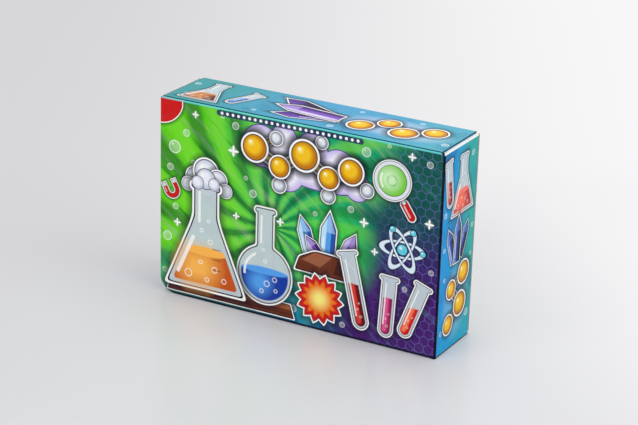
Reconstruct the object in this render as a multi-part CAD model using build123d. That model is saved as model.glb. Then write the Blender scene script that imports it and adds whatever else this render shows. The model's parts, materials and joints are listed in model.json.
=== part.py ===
from build123d import *
import os
from math import cos, radians, sin, tan

# Chemistry set case: a tuck-end carton of printed fine-flute board that stands on a long side,
# with a die-cut platform inside that carries the kit. Millimetres. X runs along the case, Y from
# the printed front to the back, Z up. The origin is at the middle of the underside.

# ---- the carton ----
case_width = 300.0
case_depth = 73.0
case_height = 200.0
board = 1.6  # thickness of the fine-flute board
fold_radius = 2.0  # outside of a crease
crease_gap = 0.15  # slit left along a crease that moves
closure_edge_gap = 0.4  # closure's cut edge below the top face and above the ground
closure_back_gap = 0.4  # tuck fold to the back panel
dust_flap_gap = 0.3  # folded dust flap to the closure that lies on it
glue_flap_width = 25.0
glue_flap_end_gap = 1.0
glue_flap_taper = 8.0

tuck_length = 20.0
tuck_lean = 12.5  # degrees that the tucked flap leans off the back panel
tuck_shoulder = 5.5  # tuck flap's end in from the closure's edge
tuck_corner = 14.0

dust_length = 42.0
dust_front_gap = 1.4  # dust flap's front edge to the inside of the front panel
dust_back_gap = 7.5  # dust flap's back edge to the outside of the back panel
dust_front_taper = 30.0  # degrees
dust_back_taper = 5.0  # degrees
dust_corner = 5.0

# ---- the insert platform ----
seat_gap = 0.3  # what rests on or against another piece
insert_board = 1.6
insert_side_gap = 0.3
insert_end_gap = 1.2
deck_height = 30.0  # top of the deck above the inside of the back panel
cutout_gap = 0.4  # die-cut hole round what stands in it
cutout_corner = 5.0

# ---- the kit ----
lens_width = 58.0
lens_height = 33.0
lens_thickness = 1.6
lens_corner = 11.0
lens_ledge = 0.9  # how far the lens overlaps the rim behind it
lens_play = 0.15
rim_width = 4.5
rim_thickness = 5.0
bridge_width = 12.0
bridge_height = 9.0
bridge_lift = 5.0  # middle of the bridge above the middle of the lenses
temple_length = 116.0
temple_height = 9.0
temple_thickness = 3.4
temple_gap = 0.4  # between the two folded temples, and to the frame
temple_lift = 8.0  # hinge above the middle of the lenses
temple_straight = 76.0  # hinge to the bend
temple_bend_height = 7.0
temple_drop = 12.0  # ear end below the hinge
temple_ear_height = 6.3
temple_ear_slant = 2.0
temple_ear_rounding = 2.7
temple_neck = 4.0  # thin part at the knuckle
temple_shoulder = 3.0  # from the neck to the full height
lug_height = 10.0
lug_reach = 3.5  # how far the lug stands in from the frame's end
knuckle_height = 4.0
knuckle_play = 0.2
hinge_screw_radius = 0.7
hinge_screw_play = 0.1

tube_count = 4
tube_radius = 7.5
tube_length = 92.0
tube_wall = 1.0
tube_floor = 1.6
tube_pitch = 22.0
stopper_head_radius = 9.0
stopper_head_height = 5.0
stopper_grips = 14
stopper_plug_length = 9.0
stopper_play = 0.15
rack_end_room = 5.5  # outermost tube to the inside of the end wall
rack_depth = 34.0
rack_plate = 3.0
rack_wall = 3.0
rack_height = 58.0
rack_hole_play = 0.4
rack_shelf_height = 26.0
rack_cutout_gap = 2.4  # wider than the others, for the stoppers and for fingers

grow_jar_radius = 16.0
grow_jar_length = 74.0
grow_jar_wall = 1.4
grow_lid_height = 12.0
grow_lid_wall = 1.4
grow_lid_play = 0.2
grow_fill_length = 50.0
grow_fill_play = 0.2

dish_radius = 20.0
dish_rim = 3.0
dish_depth = 11.0
dish_wall = 1.0

beaker_radius = 21.0
beaker_height = 56.0
beaker_wall = 1.2
beaker_bead = 1.5  # square bead round the rim

connector_radius = 14.0
connector_wall = 2.0
connector_length = 46.0
connector_collar = 1.8
connector_collar_width = 8.0
connector_orifice = 5.0
connector_grips = 18

jar_count = 4
jar_radius = 14.0
jar_height = 40.0
jar_neck_radius = 10.5
jar_neck_height = 9.0
cap_wall = 1.4
cap_play = 0.25
cap_height = 10.5

pipette_length = 140.0
pipette_stem_radius = 2.6
pipette_tip_radius = 1.0
pipette_bulb_radius = 5.6
pipette_bulb_length = 34.0
pipette_tip_length = 36.0
pipette_sides = 16

spoon_length = 84.0
spoon_width = 7.0
spoon_rounding = 2.8
spoon_thickness = 2.0
spoon_bowl_radius = 7.5
spoon_bowl_depth = 5.0
spoon_wall = 1.0

booklet_length = 210.0
booklet_height = 148.0
booklet_thickness = 1.4

round_sides = 32  # flat sides of a small round piece

# ---- worked out from the above ----
half_width = case_width / 2
half_depth = case_depth / 2
panel_half = half_width - board - dust_flap_gap  # half length of the top and bottom panels
crease_stub = 4 * fold_radius  # short run of the next panel, drawn so that its crease can be rounded
closure_reach = case_depth - board - closure_back_gap
back_inside = half_depth - board
kit_seat = back_inside - seat_gap  # what lies on the back panel ends here
deck_front = back_inside - deck_height
rim_length = lens_width + 2 * rim_width
frame_width = 2 * rim_length + bridge_width
frame_height = lens_height + 2 * rim_width
rack_length = (tube_count - 1) * tube_pitch + 2 * (tube_radius + rack_end_room + rack_wall)
rack_unit = rack_plate + seat_gap + tube_length + stopper_head_height
grow_jar_whole = grow_jar_length + grow_lid_wall
insert_bottom = 2 * board + insert_side_gap  # over the glue flap
insert_top = case_height - board - insert_side_gap
kit_end = half_width - tuck_length * cos(radians(tuck_lean))  # the tucked flap's tip

PUSH_X, PUSH_Y, PUSH_Z = (1, 0, 0), (0, 1, 0), (0, 0, 1)


# ---- where the kit stands: (x, z) of each middle, with equal webs of board in a row ----
def spread(low, high, lengths):
    """Middles of things set in a row between two ends, with the room shared out evenly."""
    web = (high - low - sum(lengths)) / (len(lengths) + 1)
    middles, at = [], low
    for length in lengths:
        middles.append(at + web + length / 2)
        at += web + length
    return middles


rack_space = (rack_length + 2 * rack_cutout_gap, rack_unit + 2 * rack_cutout_gap)
rack_z, pipette_z, goggles_z = spread(
    insert_bottom, insert_top, (rack_space[1], 2 * pipette_bulb_radius, frame_height)
)
jar_z, beaker_z, spoon_z, grow_jar_z = spread(
    insert_bottom,
    insert_top,
    (2 * jar_radius, 2 * beaker_radius, 2 * spoon_bowl_radius, 2 * grow_jar_radius),
)
rack_x, *jars_x = spread(-kit_end, kit_end, (rack_space[0],) + (2 * jar_radius,) * jar_count)
dish_x, beaker_x, connector_x = spread(
    rack_x + rack_space[0] / 2,
    kit_end,
    (
        2 * (dish_radius + dish_rim),
        2 * (beaker_radius + cutout_gap),
        2 * (connector_radius + connector_collar + cutout_gap),
    ),
)
pipette_x, spoon_x = spread(-kit_end, kit_end, (pipette_length, spoon_length))
goggles_x, grow_jar_x = spread(-kit_end, kit_end, (frame_width, grow_jar_whole))

goggles_place = (goggles_x, goggles_z)
rack_place = (rack_x, rack_z)
grow_jar_place = (grow_jar_x, grow_jar_z)
dish_place = (dish_x, beaker_z)
beaker_place = (beaker_x, beaker_z)
connector_place = (connector_x, beaker_z)
jar_places = [(x, jar_z) for x in jars_x]
pipette_place = (pipette_x, pipette_z)
spoon_place = (spoon_x, spoon_z)


def prism(points, direction, length):
    """A flat closed outline pushed along an axis."""
    face = make_face(Polyline(*points, close=True))
    return extrude(face, amount=length, dir=direction)


def rounded_prism(points, direction, length, corners, radius=fold_radius):
    """A prism whose edges that start at the given corners of its outline are rounded."""
    solid = prism(points, direction, length)
    runs = solid.edges().filter_by(Axis((0, 0, 0), direction))
    chosen = [runs.sort_by_distance(corner)[0] for corner in corners]
    return fillet(chosen, radius)


def block(low, high):
    """A box from its lowest and highest corners."""
    size = [high[i] - low[i] for i in range(3)]
    middle = [(high[i] + low[i]) / 2 for i in range(3)]
    return Pos(*middle) * Box(*size)


def rod(radius, length, sides=round_sides):
    """A small round piece from its foot up, with enough flat sides to read as round."""
    return extrude(RegularPolygon(radius, sides), amount=length)


def cup(radius, length, wall, floor):
    """A straight round cup from its outside radius and length, wall and floor."""
    return rod(radius, length) - Pos(0, 0, floor) * rod(radius - wall, length)


def standing(place, item, seat=kit_seat):
    """An upright item put on the back panel, its own Z towards the printed front."""
    x, z = place
    return Plane(origin=(x, seat, z), x_dir=(1, 0, 0), z_dir=(0, -1, 0)) * item


# ---- carton panels ----
def tray_plate(plane, long_side, short_side):
    """A panel whose four edges are mitred inwards at 45 degrees, ready for creases."""
    return extrude(plane * Rectangle(long_side, short_side), amount=board, taper=45)


def rounded(block_solid, face_axis, last=False):
    """The block with the edges of one outer face rounded as creases are."""
    faces = block_solid.faces().sort_by(face_axis)
    face = faces[-1] if last else faces[0]
    return fillet(face.edges(), fold_radius)


def front_panel():
    plane = Plane(origin=(0, -half_depth, case_height / 2), x_dir=(1, 0, 0), z_dir=(0, 1, 0))
    plate = tray_plate(plane, case_width, case_height)
    envelope = block((-half_width, -half_depth, 0), (half_width, half_depth, case_height))
    return plate & rounded(envelope, Axis.Y)


def top_panel():
    plane = Plane(origin=(0, 0, case_height), x_dir=(1, 0, 0), z_dir=(0, 0, -1))
    plate = tray_plate(plane, 2 * panel_half, case_depth)
    envelope = block((-panel_half, -half_depth, 0), (panel_half, half_depth, case_height))
    return plate & rounded(envelope, Axis.Z, last=True)


def bottom_panel():
    """Mitred at the front and at both ends; its back edge is cut square under the glue flap."""
    long_depth = 2 * case_depth
    plane = Plane(origin=(0, half_depth, 0), x_dir=(1, 0, 0), z_dir=(0, 0, 1))
    plate = tray_plate(plane, 2 * panel_half, long_depth)
    low = (-panel_half, -half_depth, 0)
    envelope = rounded(block(low, (panel_half, half_depth + long_depth, case_height)), Axis.Z)
    square_back = block(low, (panel_half, half_depth, board))
    return plate & envelope & square_back


def back_strip():
    """Top panel's edge, back panel and glue flap as one bent strip with rounded creases."""
    start, back, low = -half_width, half_depth, board
    stub = back - crease_stub
    points = [
        (start, stub, case_height),
        (start, back, case_height),
        (start, back, low),
        (start, back - glue_flap_width, low),
        (start, back - glue_flap_width, low + board),
        (start, back - board, low + board),
        (start, back - board, case_height - board),
        (start, stub, case_height - board),
    ]
    return rounded_prism(points, PUSH_X, case_width, points[1:3])


def back_panel():
    strip = back_strip()
    low, high = board, case_height
    share = prism(
        [
            (-half_width, half_depth, low),
            (-half_width, half_depth, high),
            (-half_width, half_depth - board, high - board),
            (-half_width, half_depth - board, low + board),
        ],
        PUSH_X,
        case_width,
    )
    return strip & share


def glue_flap():
    fold, edge = half_depth, half_depth - glue_flap_width
    strip = back_strip()
    share = prism(
        [
            (-half_width, fold, board),
            (-half_width, edge, board),
            (-half_width, edge, 2 * board),
            (-half_width, fold - board, 2 * board),
        ],
        PUSH_X,
        case_width,
    )
    long_half = panel_half - board - glue_flap_end_gap
    outline = prism(
        [
            (-long_half, fold, 0),
            (long_half, fold, 0),
            (long_half - glue_flap_taper, edge, 0),
            (-long_half + glue_flap_taper, edge, 0),
        ],
        PUSH_Z,
        case_height,
    )
    return strip & share & outline


# ---- closures and tuck flaps, drawn in plan at the right end ----
def closure_points():
    """Corners of the bent strip in plan: outer hinge, outer tuck fold, tip, and the inner ones."""
    lean = radians(tuck_lean)
    along = Vector(-cos(lean), -sin(lean))  # from the tuck fold to the flap's tip
    inward = Vector(sin(lean), -cos(lean))  # through the flap's thickness
    hinge = Vector(half_width, -half_depth)
    fold = hinge + Vector(0, closure_reach)
    slant = board * (1 + sin(lean)) / cos(lean)
    return {
        "hinge": hinge,
        "fold": fold,
        "tip": fold + along * tuck_length,
        "tip_inside": fold + along * tuck_length + inward * board,
        "fold_inside": fold + inward * board + along * slant,
        "hinge_inside": hinge + Vector(-board, board),
        "along": along,
        "inward": inward,
    }


def closure_strip():
    """Front panel's end, closure and tuck flap in one bent strip with rounded creases."""
    at = closure_points()
    stub = Vector(-crease_stub, 0)
    points = [
        at["hinge"] + stub,
        at["hinge"],
        at["fold"],
        at["tip"],
        at["tip_inside"],
        at["fold_inside"],
        at["hinge_inside"],
        at["hinge_inside"] + stub,
    ]
    return rounded_prism(points, PUSH_Z, case_height, (at["hinge"], at["fold"]))


def right_closure():
    at = closure_points()
    slit = Vector(0, crease_gap)
    past = Vector(board, -board)
    across = (at["fold_inside"] - at["fold"]).normalized() * board
    share = prism(
        [
            at["hinge"] + past + slit,
            at["fold"] - across,
            at["fold_inside"] + across,
            at["hinge_inside"] - past + slit,
        ],
        PUSH_Z,
        case_height - 2 * closure_edge_gap,
    )
    return closure_strip() & Pos(0, 0, closure_edge_gap) * share


def right_tuck_flap():
    at = closure_points()
    slit = at["along"] * crease_gap
    across = (at["fold_inside"] - at["fold"]).normalized() * board
    past = at["along"] * board
    share = prism(
        [
            at["fold"] - across + slit,
            at["tip"] + past - at["inward"] * board,
            at["tip_inside"] + past + at["inward"] * board,
            at["fold_inside"] + across + slit,
        ],
        PUSH_Z,
        case_height,
    )
    low, high = tuck_shoulder, case_height - tuck_shoulder
    tip = at["tip"].X - board
    side_points = [
        (tip, 0, low),
        (tip, 0, high),
        (half_width + board, 0, high),
        (half_width + board, 0, low),
    ]
    side_view = rounded_prism(side_points, PUSH_Y, case_depth, side_points[:2], tuck_corner)
    return closure_strip() & share & side_view


def right_dust_flap(top):
    """A flap creased to the end of the top or bottom panel and folded in behind the closure."""
    edge = case_height if top else 0.0
    inwards = -1 if top else 1
    start, tip = -half_depth, edge + inwards * dust_length
    points = [
        (panel_half - crease_stub, start, edge),
        (panel_half, start, edge),
        (panel_half, start, tip),
        (panel_half - board, start, tip),
        (panel_half - board, start, edge + inwards * board),
        (panel_half - crease_stub, start, edge + inwards * board),
    ]
    strip = rounded_prism(points, PUSH_Y, case_depth, points[1:2])
    slit = edge + inwards * crease_gap
    share = prism(
        [
            (panel_half + board, start, slit - inwards * board),
            (panel_half + board, start, tip + inwards * board),
            (panel_half - board, start, tip + inwards * board),
            (panel_half - board, start, slit + inwards * board),
        ],
        PUSH_Y,
        case_depth,
    )
    front = -half_depth + board + dust_front_gap
    back = half_depth - dust_back_gap
    front_shift = dust_length * tan(radians(dust_front_taper))
    back_shift = dust_length * tan(radians(dust_back_taper))
    outline = [
        (0, front + front_shift, tip),
        (0, back - back_shift, tip),
        (0, back, edge),
        (0, front, edge),
    ]
    end_view = rounded_prism(outline, PUSH_X, case_width, outline[:2], dust_corner)
    return strip & share & end_view


def carton():
    """Every panel and flap of the blank, the left end as a mirror of the right."""
    pieces = {
        "front_panel": front_panel(),
        "top_panel": top_panel(),
        "bottom_panel": bottom_panel(),
        "back_panel": back_panel(),
        "glue_flap": glue_flap(),
    }
    right = {
        "closure": right_closure(),
        "tuck_flap": right_tuck_flap(),
        "top_dust_flap": right_dust_flap(top=True),
        "bottom_dust_flap": right_dust_flap(top=False),
    }
    for name, piece in right.items():
        pieces["right_" + name] = piece
        pieces["left_" + name] = mirror(piece, about=Plane.YZ)
    return pieces


# ---- insert platform ----
def round_hole(place, radius):
    """Cutter for a round die-cut hole through the deck."""
    depth = 4 * insert_board
    return standing(place, rod(radius + cutout_gap, depth), seat=deck_front + depth / 2)


def square_hole(place, length, height, gap=cutout_gap):
    """Cutter for a rectangular die-cut hole with rounded corners."""
    x, z = place
    outline = RectangleRounded(length + 2 * gap, height + 2 * gap, cutout_corner)
    plane = Plane(origin=(x, deck_front - 2 * insert_board, z), x_dir=(1, 0, 0), z_dir=(0, 1, 0))
    return extrude(plane * outline, amount=4 * insert_board)


def insert_platform():
    """Deck and two legs of one creased sheet; the creases are mitred."""
    half_length = panel_half - board - insert_end_gap
    middle = (insert_bottom + insert_top) / 2
    height = insert_top - insert_bottom
    section = [
        (-half_length, deck_front, insert_bottom),
        (-half_length, deck_front, insert_top),
        (-half_length, deck_front + insert_board, insert_top - insert_board),
        (-half_length, deck_front + insert_board, insert_bottom + insert_board),
    ]
    deck = prism(section, PUSH_X, 2 * half_length)
    cutters = [
        square_hole(goggles_place, frame_width, frame_height),
        square_hole(rack_place, rack_length, rack_unit, rack_cutout_gap),
        square_hole(grow_jar_place, grow_jar_whole, 2 * grow_jar_radius),
        square_hole(pipette_place, pipette_length, 2 * pipette_bulb_radius),
        square_hole(spoon_place, spoon_length, 2 * spoon_bowl_radius),
        round_hole(dish_place, dish_radius),
        round_hole(beaker_place, beaker_radius),
        round_hole(connector_place, connector_radius + connector_collar),
    ]
    cutters += [round_hole(place, jar_radius) for place in jar_places]
    for cutter in cutters:
        deck -= cutter

    def leg(edge, inwards):
        points = [
            (-half_length, deck_front, edge),
            (-half_length, kit_seat, edge),
            (-half_length, kit_seat, edge + inwards * insert_board),
            (-half_length, deck_front + insert_board, edge + inwards * insert_board),
        ]
        return prism(points, PUSH_X, 2 * half_length)

    return {
        "insert_deck": deck,
        "insert_upper_leg": leg(insert_top, -1),
        "insert_lower_leg": leg(insert_bottom, 1),
    }


# ---- safety goggles, folded, lenses towards the printed front ----
def goggles_layers():
    """The (low, high) Y of the left temple, the right temple and the frame's front."""
    left = (kit_seat - temple_thickness, kit_seat)
    right = (left[0] - temple_gap - temple_thickness, left[0] - temple_gap)
    rims = (right[0] - temple_gap - rim_thickness, right[0] - temple_gap)
    return left, right, rims


def upright_slab(outline, low_y, high_y):
    """An X-Z outline, drawn about the goggles' middle, between two depths."""
    x, z = goggles_place
    plane = Plane(origin=(x, high_y, z), x_dir=(1, 0, 0), z_dir=(0, -1, 0))
    return extrude(plane * outline, amount=high_y - low_y)


def hinge_x(side):
    return side * (frame_width / 2 - temple_thickness / 2)


def temple(side, layer):
    """A folded temple: a knuckle at its hinge, a straight bar and a dropped ear end."""
    x, z = goggles_place
    half, knuckle = temple_height / 2, knuckle_height / 2 - knuckle_play
    half_bend, ear_top = temple_bend_height / 2, half - temple_drop
    full = temple_neck + temple_shoulder
    outline = [
        (0, -knuckle),
        (0, knuckle),
        (temple_neck, knuckle),
        (full, half),
        (temple_straight, half_bend),
        (temple_length, ear_top),
        (temple_length - temple_ear_slant, ear_top - temple_ear_height),
        (temple_straight - temple_ear_slant, -half_bend),
        (full, -half),
        (temple_neck, -knuckle),
    ]
    start = x + hinge_x(side)
    points = [(start - side * along, layer[0], z + temple_lift + up) for along, up in outline]
    bar = rounded_prism(points, PUSH_Y, temple_thickness, points[5:7], temple_ear_rounding)
    middle_y = (layer[0] + layer[1]) / 2
    at_hinge = Pos(start, middle_y, z + temple_lift)
    bar += at_hinge * Cylinder(temple_thickness / 2, 2 * knuckle)
    return bar - at_hinge * Cylinder(hinge_screw_radius + hinge_screw_play, 4 * knuckle)


def goggles_frame(layers):
    """Two rims and a bridge in one moulding, with a forked lug for each temple."""
    x, z = goggles_place
    rims = layers[2]
    corner = lens_corner + rim_width
    outline = Pos(0, bridge_lift) * Rectangle(bridge_width + rim_width, bridge_height)
    for side in (-1, 1):
        rim_x = side * (rim_length + bridge_width) / 2
        outline += Pos(rim_x, 0) * RectangleRounded(rim_length, frame_height, corner)
    frame = upright_slab(outline, *rims)
    seat = rims[0] + (rim_thickness - lens_thickness) / 2
    for side in (-1, 1):
        rim_x = side * (rim_length + bridge_width) / 2
        opening = Pos(rim_x, 0) * RectangleRounded(lens_width, lens_height, lens_corner)
        behind = (lens_width - 2 * lens_ledge, lens_height - 2 * lens_ledge)
        window = Pos(rim_x, 0) * RectangleRounded(*behind, lens_corner - lens_ledge)
        frame -= upright_slab(opening, rims[0], seat + lens_thickness + lens_play)
        frame -= upright_slab(window, rims[0], rims[1])
    for side, layer in ((1, layers[1]), (-1, layers[0])):
        lug_x = x + side * frame_width / 2
        ends = sorted((lug_x, lug_x - side * lug_reach))
        low = (ends[0], rims[0], z + temple_lift - lug_height / 2)
        high = (ends[1], layer[1], z + temple_lift + lug_height / 2)
        frame += block(low, high)
        half_slot = knuckle_height / 2
        slot_low = (ends[0] - 1, layer[0] - temple_gap / 2, z + temple_lift - half_slot)
        slot_high = (ends[1] + 1, layer[1] + 1, z + temple_lift + half_slot)
        frame -= block(slot_low, slot_high)
        middle_y = (layer[0] + layer[1]) / 2
        bore = Cylinder(hinge_screw_radius + hinge_screw_play, 2 * lug_height)
        frame -= Pos(x + hinge_x(side), middle_y, z + temple_lift) * bore
    return frame


def goggles_pieces():
    x, z = goggles_place
    layers = goggles_layers()
    rims = layers[2]
    seat = rims[0] + (rim_thickness - lens_thickness) / 2
    pieces = {"goggles_frame": goggles_frame(layers)}
    size = (lens_width - 2 * lens_play, lens_height - 2 * lens_play)
    screws = []
    for name, side, layer in (("right", 1, layers[1]), ("left", -1, layers[0])):
        rim_x = side * (rim_length + bridge_width) / 2
        lens = Pos(rim_x, 0) * RectangleRounded(*size, lens_corner - lens_play)
        pieces[name + "_lens"] = upright_slab(lens, seat, seat + lens_thickness)
        pieces[name + "_temple"] = temple(side, layer)
        middle_y = (layer[0] + layer[1]) / 2
        screw = Cylinder(hinge_screw_radius, lug_height - hinge_screw_play)
        screws.append(Pos(x + hinge_x(side), middle_y, z + temple_lift) * screw)
    pieces["goggles_screws"] = Compound(screws)
    return pieces


# ---- test tubes and rack ----
def stopper():
    """A ribbed head over a straight plug."""
    plug = rod(tube_radius - tube_wall - stopper_play, stopper_plug_length)
    head = rod(stopper_head_radius, stopper_head_height, stopper_grips)
    return plug + Pos(0, 0, stopper_plug_length) * head


def tube_plane(index):
    """Plane at the foot of one tube, which lies along Z in the rack on its back."""
    x, z = rack_place
    offset = (index - (tube_count - 1) / 2) * tube_pitch
    middle_y = kit_seat - rack_depth / 2
    foot_z = z - rack_unit / 2 + rack_plate + seat_gap
    return Plane(origin=(x + offset, middle_y, foot_z), x_dir=(1, 0, 0), z_dir=(0, 0, 1))


def tube_rack():
    """Two holed shelves and a base between two end walls, moulded in one."""
    x, z = rack_place
    foot_z = z - rack_unit / 2
    low = (x - rack_length / 2, kit_seat - rack_depth, foot_z)
    high = (x + rack_length / 2, kit_seat, foot_z + rack_height)
    body = block(low, high)
    inner_low = low[0] + rack_wall
    inner_high = high[0] - rack_wall
    shelf = foot_z + rack_plate + rack_shelf_height
    windows = (
        (foot_z + rack_plate, shelf - rack_plate),
        (shelf, high[2] - rack_plate),
    )
    for bottom, top in windows:
        body -= block((inner_low, low[1] - 1, bottom), (inner_high, high[1] + 1, top))
    for index in range(tube_count):
        at = tube_plane(index).origin
        hole = rod(tube_radius + rack_hole_play, rack_height)
        body -= Pos(at.X, at.Y, foot_z + rack_plate) * hole
    return body


def rack_pieces():
    pieces = {"tube_rack": tube_rack()}
    for index in range(tube_count):
        plane = tube_plane(index)
        pieces[f"test_tube_{index + 1}"] = plane * cup(tube_radius, tube_length, tube_wall, tube_floor)
        lift = tube_length - stopper_plug_length
        pieces[f"tube_stopper_{index + 1}"] = plane * (Pos(0, 0, lift) * stopper())
    return pieces


# ---- jars, beaker, dish, connector ----
def reagent_jar():
    """A filled, closed jar: body, step and neck."""
    shoulder = jar_height - jar_neck_height
    return rod(jar_radius, shoulder) + Pos(0, 0, shoulder) * rod(jar_neck_radius, jar_neck_height)


def jar_cap():
    inside = jar_neck_radius + cap_play
    return rod(inside + cap_wall, cap_height) - rod(inside, cap_height - cap_wall)


def jar_pieces():
    pieces = {}
    for number, place in enumerate(jar_places, start=1):
        lift = jar_height + seat_gap + cap_wall - cap_height
        pieces[f"reagent_jar_{number}"] = standing(place, reagent_jar())
        pieces[f"jar_cap_{number}"] = standing(place, Pos(0, 0, lift) * jar_cap())
    return pieces


def grow_jar_pieces():
    """The growing jar lies on its side along the case, its crystals held at the foot end."""
    x, z = grow_jar_place
    axis_y = kit_seat - grow_jar_radius
    foot_x = x - grow_jar_whole / 2
    lying = Plane(origin=(foot_x, axis_y, z), x_dir=(0, 0, 1), z_dir=(1, 0, 0))
    body_radius = grow_jar_radius - grow_lid_wall - grow_lid_play
    body = cup(body_radius, grow_jar_length, grow_jar_wall, grow_jar_wall)
    inside = rod(body_radius + grow_lid_play, grow_lid_height - grow_lid_wall)
    lid = rod(grow_jar_radius, grow_lid_height) - inside
    lid = Pos(0, 0, grow_jar_whole + seat_gap - grow_lid_height) * lid
    fill_radius = body_radius - grow_jar_wall - grow_fill_play
    fill = rod(fill_radius, grow_fill_length)
    return {
        "growing_jar": lying * body,
        "growing_jar_lid": lying * lid,
        "growing_crystals": lying * (Pos(0, 0, grow_jar_wall + grow_fill_play) * fill),
    }


def dish():
    """A shallow dish that hangs in its hole by the rim."""
    rim = rod(dish_radius + dish_rim, dish_wall) - rod(dish_radius - dish_wall, dish_wall)
    return cup(dish_radius, dish_depth, dish_wall, dish_wall) + Pos(0, 0, dish_depth - dish_wall) * rim


def beaker():
    bead_foot = Pos(0, 0, beaker_height - beaker_bead)
    bead = rod(beaker_radius + beaker_bead, beaker_bead) - rod(beaker_radius, beaker_bead)
    return cup(beaker_radius, beaker_height, beaker_wall, beaker_wall) + bead_foot * bead


def connector():
    """A sleeve that joins two bottle necks, with ribbed collars and a narrow middle."""
    collar = rod(connector_radius + connector_collar, connector_collar_width, connector_grips)
    sleeve = rod(connector_radius, connector_length)
    sleeve += collar + Pos(0, 0, connector_length - connector_collar_width) * collar
    bore_depth = (connector_length - connector_wall) / 2
    bore = rod(connector_radius - connector_wall, bore_depth)
    sleeve -= bore + Pos(0, 0, connector_length - bore_depth) * bore
    return sleeve - rod(connector_orifice, connector_length)


# ---- pipette, spoon, booklet ----
def pipette():
    """Lies along X on the back panel; the bulb end is at -X."""
    x, z = pipette_place
    stem_length = pipette_length - pipette_tip_length
    bulb = rod(pipette_bulb_radius, pipette_bulb_length)
    stem = rod(pipette_stem_radius, stem_length, pipette_sides)
    tip = Pos(0, 0, stem_length) * rod(pipette_tip_radius, pipette_tip_length, pipette_sides)
    lying = Plane(
        origin=(x - pipette_length / 2, kit_seat - pipette_bulb_radius, z),
        x_dir=(0, 0, 1),
        z_dir=(1, 0, 0),
    )
    return lying * (bulb + stem + tip)


def spoon():
    """A measuring spoon: a flat handle with a cup turned at its end."""
    x, z = spoon_place
    cup_x = x + spoon_length / 2 - spoon_bowl_radius
    bowl = cup(spoon_bowl_radius, spoon_bowl_depth, spoon_wall, spoon_wall)
    handle_start = x - spoon_length / 2
    rim_y = kit_seat - spoon_bowl_depth
    handle_end = cup_x - spoon_bowl_radius + spoon_wall / 2
    handle = block(
        (handle_start, rim_y, z - spoon_width / 2),
        (handle_end, rim_y + spoon_thickness, z + spoon_width / 2),
    )
    end_edges = handle.edges().filter_by(Axis.Y).sort_by(Axis.X)[:2]
    return fillet(end_edges, spoon_rounding) + standing((cup_x, z), bowl)


def booklet():
    """Stands on the bottom panel, flat against the inside of the front panel."""
    front = -half_depth + board + seat_gap
    low = board + seat_gap
    return block(
        (-booklet_length / 2, front, low),
        (booklet_length / 2, front + booklet_thickness, low + booklet_height),
    )


def main():
    pieces = carton()
    pieces.update(insert_platform())
    pieces.update(goggles_pieces())
    pieces.update(rack_pieces())
    pieces.update(jar_pieces())
    pieces.update(grow_jar_pieces())
    rim_seat = deck_front - seat_gap + dish_depth - dish_wall
    pieces["dish"] = standing(dish_place, dish(), seat=rim_seat)
    pieces["measuring_beaker"] = standing(beaker_place, beaker())
    pieces["bottle_connector"] = standing(connector_place, connector())
    pieces["pipette"] = pipette()
    pieces["measuring_spoon"] = spoon()
    pieces["booklet"] = booklet()

    os.makedirs("parts", exist_ok=True)
    for name, piece in pieces.items():
        export_step(piece, f"parts/{name}.step")
    print(len(pieces), "pieces")


main()
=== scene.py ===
"""Lengths are in millimetres here until a mesh is made."""

import json
from math import atan2, cos, degrees, hypot, pi, radians, sin, tan
from random import Random

import bmesh
import bpy
from mathutils import Matrix, Vector


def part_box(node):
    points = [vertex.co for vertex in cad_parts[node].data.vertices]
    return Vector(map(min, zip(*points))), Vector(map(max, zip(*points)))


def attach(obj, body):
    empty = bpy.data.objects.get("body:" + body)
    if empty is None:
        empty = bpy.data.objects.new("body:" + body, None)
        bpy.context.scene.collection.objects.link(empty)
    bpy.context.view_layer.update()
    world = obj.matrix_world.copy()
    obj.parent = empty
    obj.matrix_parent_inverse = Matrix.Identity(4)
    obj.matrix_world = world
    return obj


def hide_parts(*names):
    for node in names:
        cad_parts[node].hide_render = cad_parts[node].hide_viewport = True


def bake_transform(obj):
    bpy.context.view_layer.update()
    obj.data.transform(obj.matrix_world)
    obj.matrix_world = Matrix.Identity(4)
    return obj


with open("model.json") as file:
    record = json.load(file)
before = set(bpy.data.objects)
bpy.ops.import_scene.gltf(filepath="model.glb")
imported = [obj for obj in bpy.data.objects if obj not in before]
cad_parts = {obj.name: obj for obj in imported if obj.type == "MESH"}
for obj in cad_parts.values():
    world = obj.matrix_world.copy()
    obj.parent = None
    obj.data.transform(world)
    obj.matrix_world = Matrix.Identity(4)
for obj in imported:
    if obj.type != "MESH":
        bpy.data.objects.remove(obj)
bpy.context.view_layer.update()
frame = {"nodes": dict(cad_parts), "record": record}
MM = 0.001

# ---- sizes taken over from the solids ----
HALF_W, HALF_D, HEIGHT = 150.0, 36.5, 200.0
BOARD, FOLD = 1.6, 2.0
PANEL_HALF = 147.7  # top and bottom panel, short of the closures
CLOSURE_FOLD_Y = 34.5
EDGE_GAP = 0.4
SLIT = 0.15
LEAN = radians(12.5)  # of the tuck flap
TUCK, TUCK_SHOULDER, TUCK_CORNER = 20.0, 5.5, 14.0
DUST, DUST_FRONT, DUST_BACK, DUST_CORNER = 42.0, -33.5, 29.0, 5.0
FLUTE = 3.2  # pitch of the flutes
X, Y, Z = (1, 0, 0), (0, 1, 0), (0, 0, 1)


def rgb(r, g, b):
    """A colour as it shows on screen, in the shader's own scale."""
    def part(c):
        c /= 255
        return c / 12.92 if c <= 0.04045 else ((c + 0.055) / 1.055) ** 2.4

    return (part(r), part(g), part(b), 1.0)


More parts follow.
